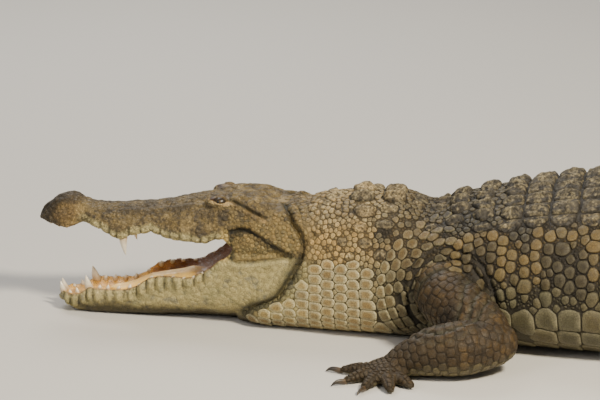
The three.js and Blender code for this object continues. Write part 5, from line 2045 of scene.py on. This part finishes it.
HORN, HORN_TIP, HORN_STREAK = srgb(84, 66, 44), srgb(34, 28, 23), srgb(110, 92, 64)
CLAW_ROOT = (-7, -0.6, 5.2, 5.4)
CLAW_SAMPLES, CLAW_SIDES = 34, 18


def make_claw(name, plan, side, shift, digit):
    """A hooked claw, set into the end of its finger or toe."""
    toe = digit_marks(plan, side, shift, digit)
    (x0, y0, *_), (x1, y1, z1, *_) = toe[-2], toe[-1]
    away = unit(np.array([x1 - x0, y1 - y0]))
    marks = []
    for ahead, rise, wide, high in (CLAW_ROOT, *CLAW_SECTIONS):
        marks.append([*(np.array([x1, y1]) + away * ahead), z1 + rise, wide * 0.86, high])
    reach, height, radius = CLAW_POINT
    marks.append([*(np.array([x1, y1]) + away * (reach - 6)), (height + z1) / 2 + 1.5, 2.4, 2.8])
    marks.append([*(np.array([x1, y1]) + away * reach), height, radius * 0.5, radius * 0.5])
    centres, wide, high, _, across, upward = limb_path(marks, CLAW_SAMPLES)
    turn = 2 * np.pi * np.arange(CLAW_SIDES) / CLAW_SIDES
    pinch = 1 - 0.22 * np.maximum(-np.sin(turn), 0)
    out = wide[:, None, None] * across[:, None] * (np.cos(turn) * pinch)[None, :, None]
    rings = centres[:, None] + out + high[:, None, None] * upward[:, None] * np.sin(turn)[None, :, None]
    rings[..., 2] = np.maximum(rings[..., 2], 0.3)
    points, faces = gather([loft(rings)])
    share = np.repeat(np.linspace(0, 1, CLAW_SAMPLES), CLAW_SIDES)
    colours = blend(HORN, HORN_TIP, smooth_step(share, 0.1, 0.55))
    colours = blend(colours, HORN_STREAK, 0.4 * smooth_step(noise(points * (1, 1, 3), 5, 151), 0, 0.8))
    return mesh_object(name, points, faces, colours)


# ---------------------------------------------------------------- crest of the tail


class CREST:
    """The saw of the tail: two rows of plates that become one where they join."""

    first, joined, last = 1936, 2860, 3640
    pitch = TAIL_PITCH
    height = curve((1930, 13), (2200, 26), (2860, 44), (3300, 40), (3500, 26), (3640, 12))
    spread = curve((1930, 78), (2300, 58), (2700, 30), (2860, 13))
    lean = 0.3
    thickness = 5.2
    levels = (-0.35, 0, 0.15, 0.32, 0.5, 0.68, 0.84, 0.95, 1.0)
    sides = 20
    colour = srgb(112, 102, 80)


def crest_blade(station, side, length, height):
    """One leaf-shaped plate standing on the tail, swept to the back, and its foot."""
    row = side * CREST.spread(station) if station < CREST.joined else 0.0
    heading = HEADING(station)
    ahead = np.array([np.sin(heading), np.cos(heading), 0])
    left = np.array([np.cos(heading), -np.sin(heading), 0])
    foot = beside(station, row, back_at(station, row) - SKIN["back"] * 0.6)
    turn = 2 * np.pi * np.arange(CREST.sides) / CREST.sides
    rings = []
    for level in CREST.levels:
        up = max(level, 0.0)
        half = 0.56 * length * (1 - up**1.5) ** 0.62 + 0.4
        sweep = length * (0.04 + 0.34 * up**1.4)
        thick = CREST.thickness * (1 - 0.82 * up) * (height / 40) ** 0.4
        centre = foot + ahead * sweep + (np.array([0, 0, 1.0]) + left * side * CREST.lean) * level * height
        across = signed_power(np.sin(turn), 1.3) * thick
        ring = np.cos(turn)[:, None] * half * ahead + across[:, None] * left
        wobble = 1.2 * noise(centre + ring, 14, 161)[:, None] * left
        rings.append(centre + ring + wobble * up)
    return loft(np.array(rings)), foot


def crest_uv(feet):
    """A small patch for each plate at its foot's place, one row for each point."""
    turn = 2 * np.pi * np.arange(CREST.sides) / CREST.sides
    share = 1 - np.clip(CREST.levels, 0, 0.9)
    patch = PATCH * share[:, None, None] * np.stack([np.cos(turn), np.sin(turn)], -1)
    places = root_uv(Places(feet, np.tile((0.0, 0.0, 1.0), (len(feet), 1))))
    return (places[:, None] + patch.reshape(-1, 2)).reshape(-1, 2)


def make_crest():
    draw = np.random.default_rng(31)
    blades = []
    for station in np.arange(CREST.first, CREST.joined, CREST.pitch):
        for side in (1, -1):
            grown = draw.uniform(0.9, 1.06)
            at = station + draw.uniform(-3, 3)
            blades.append(crest_blade(at, side, CREST.pitch * 1.05, CREST.height(at) * grown))
    station = CREST.joined + 12.0
    while station < CREST.last - 14:
        pitch = CREST.pitch - 14 * smooth_step(station, 2950, 3600)
        blades.append(crest_blade(station, 0, pitch * 1.08, CREST.height(station) * draw.uniform(0.9, 1.05)))
        station += pitch
    points, faces = gather([blade for blade, _ in blades])
    uv = crest_uv(np.array([foot for _, foot in blades]))
    points[:, 2] = np.maximum(points[:, 2], 0)
    rough = fractal(points, 12, 165)
    colours = blend(CREST.colour, BACK_DARK, smooth_step(rough, -0.1, 0.6))
    return mesh_object("tail_crest", points, faces, colours, uv)


# ---------------------------------------------------------------- materials


class Shader:
    """A material's nodes, added and linked by short calls."""

    def __init__(self, name):
        self.material = bpy.data.materials.new(name)
        self.material.use_nodes = True
        self.nodes = self.material.node_tree.nodes
        self.links = self.material.node_tree.links
        self.body = self.nodes["Principled BSDF"]
        self.place = self.nodes.new("ShaderNodeTexCoord").outputs["Object"]

    def add(self, kind, settings=None, **inputs):
        node = self.nodes.new(kind)
        for key, value in (settings or {}).items():
            setattr(node, key, value)
        for key, value in inputs.items():
            self.feed(node.inputs[key.replace("_", " ")], value)
        return node

    def feed(self, socket, value):
        if isinstance(value, bpy.types.NodeSocket):
            self.links.new(value, socket)
        else:
            socket.default_value = value

    def noise(self, scale, detail=3.0, roughness=0.55):
        node = self.add("ShaderNodeTexNoise", Scale=scale, Detail=detail, Roughness=roughness)
        self.links.new(self.place, node.inputs["Vector"])
        return node.outputs["Fac"]

    def cracks(self, scale, width):
        node = self.add("ShaderNodeTexVoronoi", {"feature": "DISTANCE_TO_EDGE"}, Scale=scale)
        bent = self.add("ShaderNodeVectorMath", {"operation": "ADD"})
        wander = self.add("ShaderNodeTexNoise", Scale=scale * 0.7, Detail=2.0)
        self.links.new(self.place, wander.inputs["Vector"])
        small = self.add("ShaderNodeVectorMath", {"operation": "SCALE"}, Scale=0.5 / scale)
        self.links.new(wander.outputs["Color"], small.inputs[0])
        self.links.new(self.place, bent.inputs[0])
        self.links.new(small.outputs[0], bent.inputs[1])
        self.links.new(bent.outputs[0], node.inputs["Vector"])
        return self.ramp(node.outputs["Distance"], 0.0, width, 0.0, 1.0)

    def ramp(self, value, low, high, to_low, to_high):
        levels = {"From_Min": low, "From_Max": high, "To_Min": to_low, "To_Max": to_high}
        return self.add("ShaderNodeMapRange", Value=value, **levels).outputs["Result"]

    def math(self, operation, a, b):
        node = self.nodes.new("ShaderNodeMath")
        node.operation = operation
        self.feed(node.inputs[0], a)
        self.feed(node.inputs[1], b)
        return node.outputs[0]

    def mix(self, factor, a, b, blend_type="MIX"):
        node = self.nodes.new("ShaderNodeMix")
        node.data_type = "RGBA"
        node.blend_type = blend_type
        self.feed(node.inputs[0], factor)
        self.feed(node.inputs[6], a)
        self.feed(node.inputs[7], b)
        return node.outputs[2]

    def attribute(self, name):
        return self.add("ShaderNodeAttribute", {"attribute_name": name})

    def bump(self, height, strength, distance):
        node = self.add("ShaderNodeBump", Strength=strength, Distance=distance, Height=height)
        self.links.new(node.outputs["Normal"], self.body.inputs["Normal"])

    def set(self, **values):
        for key, value in values.items():
            self.feed(self.body.inputs[key.replace("_", " ")], value)


DIRT, CRACK = (0.075, 0.066, 0.05, 1), (0.05, 0.042, 0.03, 1)


def hide_material(name, grain, crack_scale, crack_depth, dirt, roughness, mottle, pale, dark):
    """Dry skin or horn: the painted markings, broken by grain, dirt and fine cracks."""
    s = Shader(name)
    tint = s.attribute("tint").outputs["Color"]
    fine = s.noise(grain, 4.0)
    broad = s.noise(grain * 0.16, 3.0)
    cracks = s.cracks(crack_scale, 0.09)
    colour = s.mix(mottle, tint, s.ramp(fine, 0.38, 0.64, pale, dark), "MULTIPLY")
    colour = s.mix(s.ramp(broad, 0.5, 0.72, 0.0, dirt), colour, DIRT)
    colour = s.mix(s.ramp(cracks, 0.0, 1.0, crack_depth, 0.0), colour, CRACK)
    wet = s.attribute("wet").outputs["Fac"]
    dry = s.ramp(fine, 0.3, 0.7, roughness - 0.1, roughness + 0.12)
    s.set(Base_Color=colour, Roughness=s.math("SUBTRACT", dry, s.math("MULTIPLY", wet, 0.3)))
    s.set(Specular_IOR_Level=0.3)
    relief = s.math("ADD", s.math("MULTIPLY", fine, 0.6), s.math("MULTIPLY", cracks, 0.55))
    s.bump(relief, 0.55, 0.0016)
    return s.material


def grained(name, scale, detail, strength, tones):
    """A material whose painted colour is broken by one grain, and the grain."""
    s = Shader(name)
    tint = s.attribute("tint").outputs["Color"]
    grain = s.noise(scale, detail)
    s.set(Base_Color=s.mix(strength, tint, s.ramp(grain, 0.3, 0.7, *tones), "MULTIPLY"))
    return s, grain


def tooth_material():
    s, streaks = grained("tooth", 260, 4.0, 0.4, (1.1, 0.74))
    s.set(Roughness=s.ramp(streaks, 0.3, 0.7, 0.22, 0.42), Coat_Weight=0.3, Coat_Roughness=0.12)
    s.bump(s.noise(500, 3.0), 0.15, 0.0006)
    return s.material


def eye_material():
    s, _ = grained("eye", 700, 2.0, 0.3, (1.1, 0.8))
    s.set(Roughness=0.34, Coat_Weight=0.1, Coat_Roughness=0.1, Specular_IOR_Level=0.35)
    return s.material


def claw_material():
    s, grain = grained("claw", 340, 4.0, 0.5, (1.25, 0.7))
    s.set(Roughness=s.ramp(grain, 0.3, 0.7, 0.3, 0.55), Coat_Weight=0.2, Coat_Roughness=0.3)
    s.bump(grain, 0.3, 0.0008)
    return s.material


def mouth_material():
    s, folds = grained("mouth", 120, 4.0, 0.5, (1.15, 0.75))
    s.set(Roughness=s.ramp(folds, 0.3, 0.7, 0.3, 0.5), Subsurface_Weight=0.08)
    s.set(Subsurface_Radius=(0.006, 0.003, 0.0015))
    s.bump(folds, 0.5, 0.002)
    return s.material


# ---------------------------------------------------------------- the whole animal

FLESH = ["head_upper", "lower_jaw", "neck", "trunk_front", "trunk_rear"]
FLESH += ["tail_" + str(number) for number in (1, 2, 3, 4)]
for part in ("upper_arm", "forearm", "hand", "thigh", "shank", "foot"):
    FLESH += [part + "_left", part + "_right"]
PALE_RIM = srgb(206, 196, 156)
GULAR_HEART = srgb(150, 122, 72)
SCUTE_TOP = srgb(146, 134, 104)
CREASE = 0.26  # painted shade: brightness of the skin between the scales
# Dark tone laid over the skin between the scales of neck and trunk as painted shade.
CREASE_SHADE_TONE = srgb(33, 29, 22)

# How far the scales of each kind vary in brightness, and how much darker their rims are.
SPREAD = {GRANULE: 0.17, PEBBLE: 0.17, SHINGLE: 0.17, SCUTE: 0.17, RING: 0.09, PLATE: 0.07}
RIM_SHADE = {GRANULE: 0.55, PEBBLE: 0.55, SHINGLE: 0.55, SCUTE: 0.55, RING: 0.45, PLATE: 0.16}
RIM_FROM = {GRANULE: 0.8, PEBBLE: 0.88, SHINGLE: 0.93, SCUTE: 0.8, RING: 0.8, PLATE: 0.8}
JAW_RIM_SHADE = 0.05

# Slot and material of the pieces of scales that are not "hide" and "scales".
SCALE_LOOKS = {"jaw_scales": ("jaw", "jaw"), "face_scales": ("hide", "face"), "back_scutes": ("back", "back")}


# Name, scales of grain and cracks, depth of the cracks, dirt, roughness, strength of the mottling, and the
# brightness of its pale and dark spots.
HIDES = (
    ("hide", 420, 170, 0.35, 0.35, 0.62, 0.7, 1.35, 0.55),
    ("scales", 420, 130, 0.3, 0.3, 0.56, 0.7, 1.35, 0.55),
    ("face", 330, 170, 0.45, 0.5, 0.6, 1.0, 1.4, 0.45),
    ("jaw", 420, 90, 0.32, 0.12, 0.5, 0.5, 1.35, 0.55),
    ("back", 190, 120, 0.55, 0.6, 0.72, 1.0, 1.55, 0.3),
)


def finish_piece(piece, material, nodes=()):
    piece.data.materials.append(material)
    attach(piece, "root")
    if nodes:
        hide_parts(*nodes)


def skin_colours(points, where):
    """The markings, darkened with painted shade where the skin lies between scales."""
    station, off_limb = where.station, 1 - where.limb_weight
    near_head = 1 - smooth_step(points[:, 1], *HEAD_FADE)
    outer, _, _ = lid_place(points)
    bare = np.maximum(where.lining, 1 - smooth_step(outer, 1.6, 2.4))
    smooth_head = near_head * (0.7 + 0.2 * (where.upper <= 0.5))
    # painted shade: the skin between the scales is darkened, less on the head and legs, not in the mouth or
    # on the lids
    shade = CREASE + (1 - CREASE) * np.maximum(smooth_head, 0.5 * where.limb_weight)
    shade = shade + (1 - shade) * bare
    plated = smooth_step(where.share, 0.55, 0.62) * smooth_step(station, 860, 940) * off_limb
    shade = shade + 0.4 * (1 - shade) * plated
    # painted shade: the skin between the scales of neck and trunk goes towards a dark tone, less so between
    # the belly plates
    crease_shade = 0.6 * smooth_step(station, 720, 920) * off_limb * (1 - 0.8 * plated)
    return blend(markings(points, where) * shade[:, None], CREASE_SHADE_TONE, crease_shade)


def make_skin(points, triangles, where, material):
    outer, _, _ = lid_place(points)
    wet = np.maximum(where.lining * 0.8, 0.6 * (1 - smooth_step(outer, 0.3, 1.0)))
    uv = skin_uv(where, triangles)
    skin = mesh_object("skin", points, [triangles], skin_colours(points, where), uv, wet)
    finish_piece(skin, material, FLESH)


def scale_groups(seeds, where):
    """The piece that each scale belongs to; a later line overrules the ones above it."""
    kind, at, station = seeds["kind"], seeds["at"], where.station
    head = (at[:, 1] < HEAD_TO) & (where.limb_weight < 0.4) & (past_jaw(at) < 3)
    limbs = where.limb_weight > 0.4
    group = np.full(len(kind), "flank_scales_right", dtype=object)
    group[at[:, 0] > 0] = "flank_scales_left"
    group[kind == SHINGLE] = "belly_plates"
    group[station < TRUNK_FROM] = "neck_scales"
    group[kind == SCUTE] = "back_scutes"
    group[station >= TRUNK_TO] = "tail_scales"
    group[head] = "jaw_scales"
    group[head & (where.upper > 0.5)] = "face_scales"
    group[limbs & (where.limb < 2)] = "arm_scales"
    group[limbs & (where.limb >= 2)] = "leg_scales"
    return group


def by_kind(table, kind):
    """The value of a table of kinds for each scale."""
    return np.array([table[k] for k in sorted(table)])[kind]


def with_pale_edges(colours, kind, share, back_edge, station):
    """Pale rims on shingles and pebbles, a painted highlight along the rear edge of the shingles, and warm
    hearts on the shingles of the throat.
    """
    shingle = kind == SHINGLE
    pale = PALE_RIM * (1 - 0.55 * smooth_step(station, 690, 840))[:, None]
    pale = pale * (1 - 0.4 * smooth_step(station, 1800, 1960))[:, None]
    # painted highlight along the rear edge of each shingle
    colours = blend(colours, pale, 0.5 * shingle * smooth_step(back_edge, 0.72, 0.95) * (share < 0.99))
    colours = blend(colours, pale, 0.3 * shingle * smooth_step(share, 0.8, 0.9) * (share < 0.99))
    pebble = (kind == PEBBLE) & (station > 700)
    colours = blend(colours, pale, 0.16 * pebble * smooth_step(share, 0.6, 0.85) * (share < 0.9))
    gular = shingle * (1 - smooth_step(station, 730, 800))
    colours = blend(colours, GULAR_HEART, 0.55 * gular * (1 - smooth_step(share, 0.3, 0.8)))
    return blend(colours, PALE_RIM, 0.35 * gular * smooth_step(share, 0.75, 0.95))


def with_scute_wear_and_shade(colours, points, scute, share, turn, station):
    """Painted shade in the hollows and pale tops on the scutes of the back, the tops partly wear and partly
    painted highlight.
    """
    rough = fractal(points, 8, 171, 3)
    keel = np.exp(-((share * np.sin(turn) / 0.22) ** 2)) * (1 - share)
    nape = 1 - smooth_step(station, *NAPE_FADE)
    # painted shade: dark hollows, placed by noise and kept off the keel
    hollow = np.clip(0.9 * smooth_step(rough, -0.2, 0.3) - 0.2 * keel, 0, 1) * (1 - 0.5 * nape)
    colours = blend(colours, BACK_DARK, scute * hollow)
    # pale tops on the keel and bumps, partly wear and partly painted highlight
    top = scute * np.clip(0.5 * keel + 0.6 * smooth_step(-rough, 0.05, 0.4), 0, 1)
    return blend(colours, SCUTE_TOP, 0.72 * top)


def scale_colours(seeds, base, parts, where, draw):
    """Colours of the points of grown scales: the marking at the root, darker towards the rim."""
    owner, share, turn, points = parts["owner"], parts["share"], parts["turn"], parts["points"]
    kinds = seeds["kind"]
    kind, station = kinds[owner], where.station[owner]
    spread = by_kind(SPREAD, kinds)
    spread = np.where((where.limb_weight > 0.5) & (kinds != PLATE), SPREAD[RING], spread)
    # granules, lying low between the scales, are painted at half brightness as painted shade
    bright = np.where(kinds == GRANULE, 0.5, 1) * (1 + draw.uniform(-1, 1, len(base)) * spread)
    warm = draw.uniform(-0.05, 0.05, len(base))
    own = base * bright[:, None] * np.c_[1 + warm, np.ones(len(base)), 1 - 1.6 * warm]
    colours = own[owner]
    flat = np.flatnonzero((kind == PLATE) | (kind == RING))
    if len(flat):
        colours[flat] = markings(points[flat], Places(points[flat], seeds["normal"][owner[flat]]))
        colours[flat] *= (0.5 + 0.5 * bright[owner[flat]])[:, None]
    on_jaw = (kind == PLATE) & (where.upper[owner] <= 0.5)
    shade = np.where(on_jaw, JAW_RIM_SHADE, by_kind(RIM_SHADE, kind))
    colours = colours * (1 - shade * smooth_step(share, by_kind(RIM_FROM, kind), 1.0))[:, None]
    colours = with_pale_edges(colours, kind, share, share * np.cos(turn), station)
    return with_scute_wear_and_shade(colours, points, kind == SCUTE, share, turn, station)


def make_scales(seeds, near, tree, materials):
    draw = np.random.default_rng(11)
    where = Places(seeds["at"], seeds["normal"])
    base = markings(seeds["at"], where)
    roots = root_uv(where)
    groups = scale_groups(seeds, where)
    for name in sorted(set(groups)):
        points, quads, fans, colours, uvs, start = [], [], [], [], [], 0
        for kind in SHAPES:
            chosen = np.flatnonzero((groups == name) & (seeds["kind"] == kind))
            if not len(chosen):
                continue
            parts = grown_scales(seeds, near, chosen, kind, tree, draw)
            points.append(parts["points"])
            quads.append(parts["quads"] + start)
            fans.append(parts["fans"] + start)
            colours.append(scale_colours(seeds, base, parts, where, draw))
            spread = PATCH * parts["share"][:, None] * np.c_[np.cos(parts["turn"]), np.sin(parts["turn"])]
            uvs.append(roots[parts["owner"]] + spread)
            start += len(parts["points"])
        faces = [np.vstack(quads), np.vstack(fans)]
        piece = mesh_object(name, np.vstack(points), faces, np.vstack(colours), np.vstack(uvs))
        slot, look = SCALE_LOOKS.get(name, ("hide", "scales"))
        finish_piece(piece, materials[look])


def build():
    points, triangles = sculpted_skin()
    normals = vertex_normals(points, triangles)
    where = Places(points, normals)
    tree = BVHTree.FromPolygons(points.tolist(), triangles.tolist())
    seeds = all_seeds(points, triangles, normals, where, tree)
    materials = {look[0]: hide_material(*look) for look in HIDES}
    make_skin(points, triangles, where, materials["hide"])
    make_scales(seeds, kin(seeds["at"]), tree, materials)
    teeth, eyes, claws, mouth = tooth_material(), eye_material(), claw_material(), mouth_material()
    finish_piece(make_teeth("upper_teeth", UPPER_TEETH, UPPER.lip_x, UPPER.lip_z, -1), teeth)
    finish_piece(make_teeth("lower_teeth", LOWER_TEETH, LOWER.row_x, LOWER.row_z, 1), teeth)
    for side, name in ((1, "left"), (-1, "right")):
        finish_piece(make_eye("eyeball_" + name, side), eyes, ["eye_" + name])
    finish_piece(make_tongue(), mouth, ["tongue"])
    finish_piece(make_crest(), materials["back"])
    for leg, (plan, side, shift) in LEGS.items():
        node = leg.replace("arm_", "claw_hand_").replace("leg_", "claw_foot_")
        for number, digit in enumerate([d for d in plan["digits"] if d[2]], 1):
            name = node + "_" + str(number)
            finish_piece(make_claw(name + "_horn", plan, side, shift, digit), claws, [name])


build()


# ---------------------------------------------------------------- floor, light and camera

# In metres and degrees.
AIM = Vector((0.0, -0.736, 0.256))
LIGHT_AIM = Vector((0, -0.3, 0.1))
FLOOR_HALF = 14.0
# Name, azimuth, elevation, distance, size, watts and colour of each light.
LIGHTS = (
    ("key", 130, 46, 4.4, 0.9, 330, (1.0, 0.9, 0.72)),
    ("fill", 50, 30, 4.6, 2.6, 60, (1.0, 0.97, 0.93)),
    ("rim", 300, 42, 4.6, 2.4, 110, (1.0, 0.98, 0.95)),
)
AZIMUTH, ELEVATION, DISTANCE = 98.0, 15.5, 8.0
FOCAL_PIXELS, FRAME_PIXELS = 3756.0, 600.0


def direction(azimuth, elevation):
    """The way from the aim point to something seen at these degrees."""
    a, e = np.radians(azimuth), np.radians(elevation)
    return Vector((np.sin(a) * np.cos(e), -np.cos(a) * np.cos(e), np.sin(e)))


def add_camera():
    data = bpy.data.cameras.new("camera")
    data.sensor_width = 36.0
    data.lens = data.sensor_width * FOCAL_PIXELS / FRAME_PIXELS
    data.clip_end = 60.0
    camera = in_scene("camera", data)
    camera.location = AIM + direction(AZIMUTH, ELEVATION) * DISTANCE
    camera.rotation_euler = direction(AZIMUTH, ELEVATION).to_track_quat("Z", "Y").to_euler()
    bpy.context.scene.camera = camera


def add_light(name, azimuth, elevation, distance, size, watts, colour):
    data = bpy.data.lights.new(name, "AREA")
    data.shape = "DISK"
    data.size = size
    data.energy = watts
    data.color = colour
    light = in_scene(name, data)
    light.location = LIGHT_AIM + direction(azimuth, elevation) * distance
    light.rotation_euler = direction(azimuth, elevation).to_track_quat("Z", "Y").to_euler()


def add_stage():
    mesh = bpy.data.meshes.new("floor")
    corners = [(x * FLOOR_HALF, y * FLOOR_HALF, 0) for x, y in ((-1, -1), (1, -1), (1, 1), (-1, 1))]
    mesh.from_pydata(corners, [], [(0, 1, 2, 3)])
    floor = in_scene("floor", mesh)
    material = bpy.data.materials.new("floor")
    material.use_nodes = True
    shader = material.node_tree.nodes["Principled BSDF"]
    shader.inputs["Base Color"].default_value = (0.62, 0.6, 0.56, 1)
    shader.inputs["Roughness"].default_value = 0.85
    mesh.materials.append(material)
    world = bpy.data.worlds.new("studio")
    world.use_nodes = True
    background = world.node_tree.nodes["Background"]
    background.inputs["Color"].default_value = (0.9, 0.89, 0.88, 1)
    background.inputs["Strength"].default_value = 0.26
    bpy.context.scene.world = world
    for light in LIGHTS:
        add_light(*light)


add_stage()
add_camera()
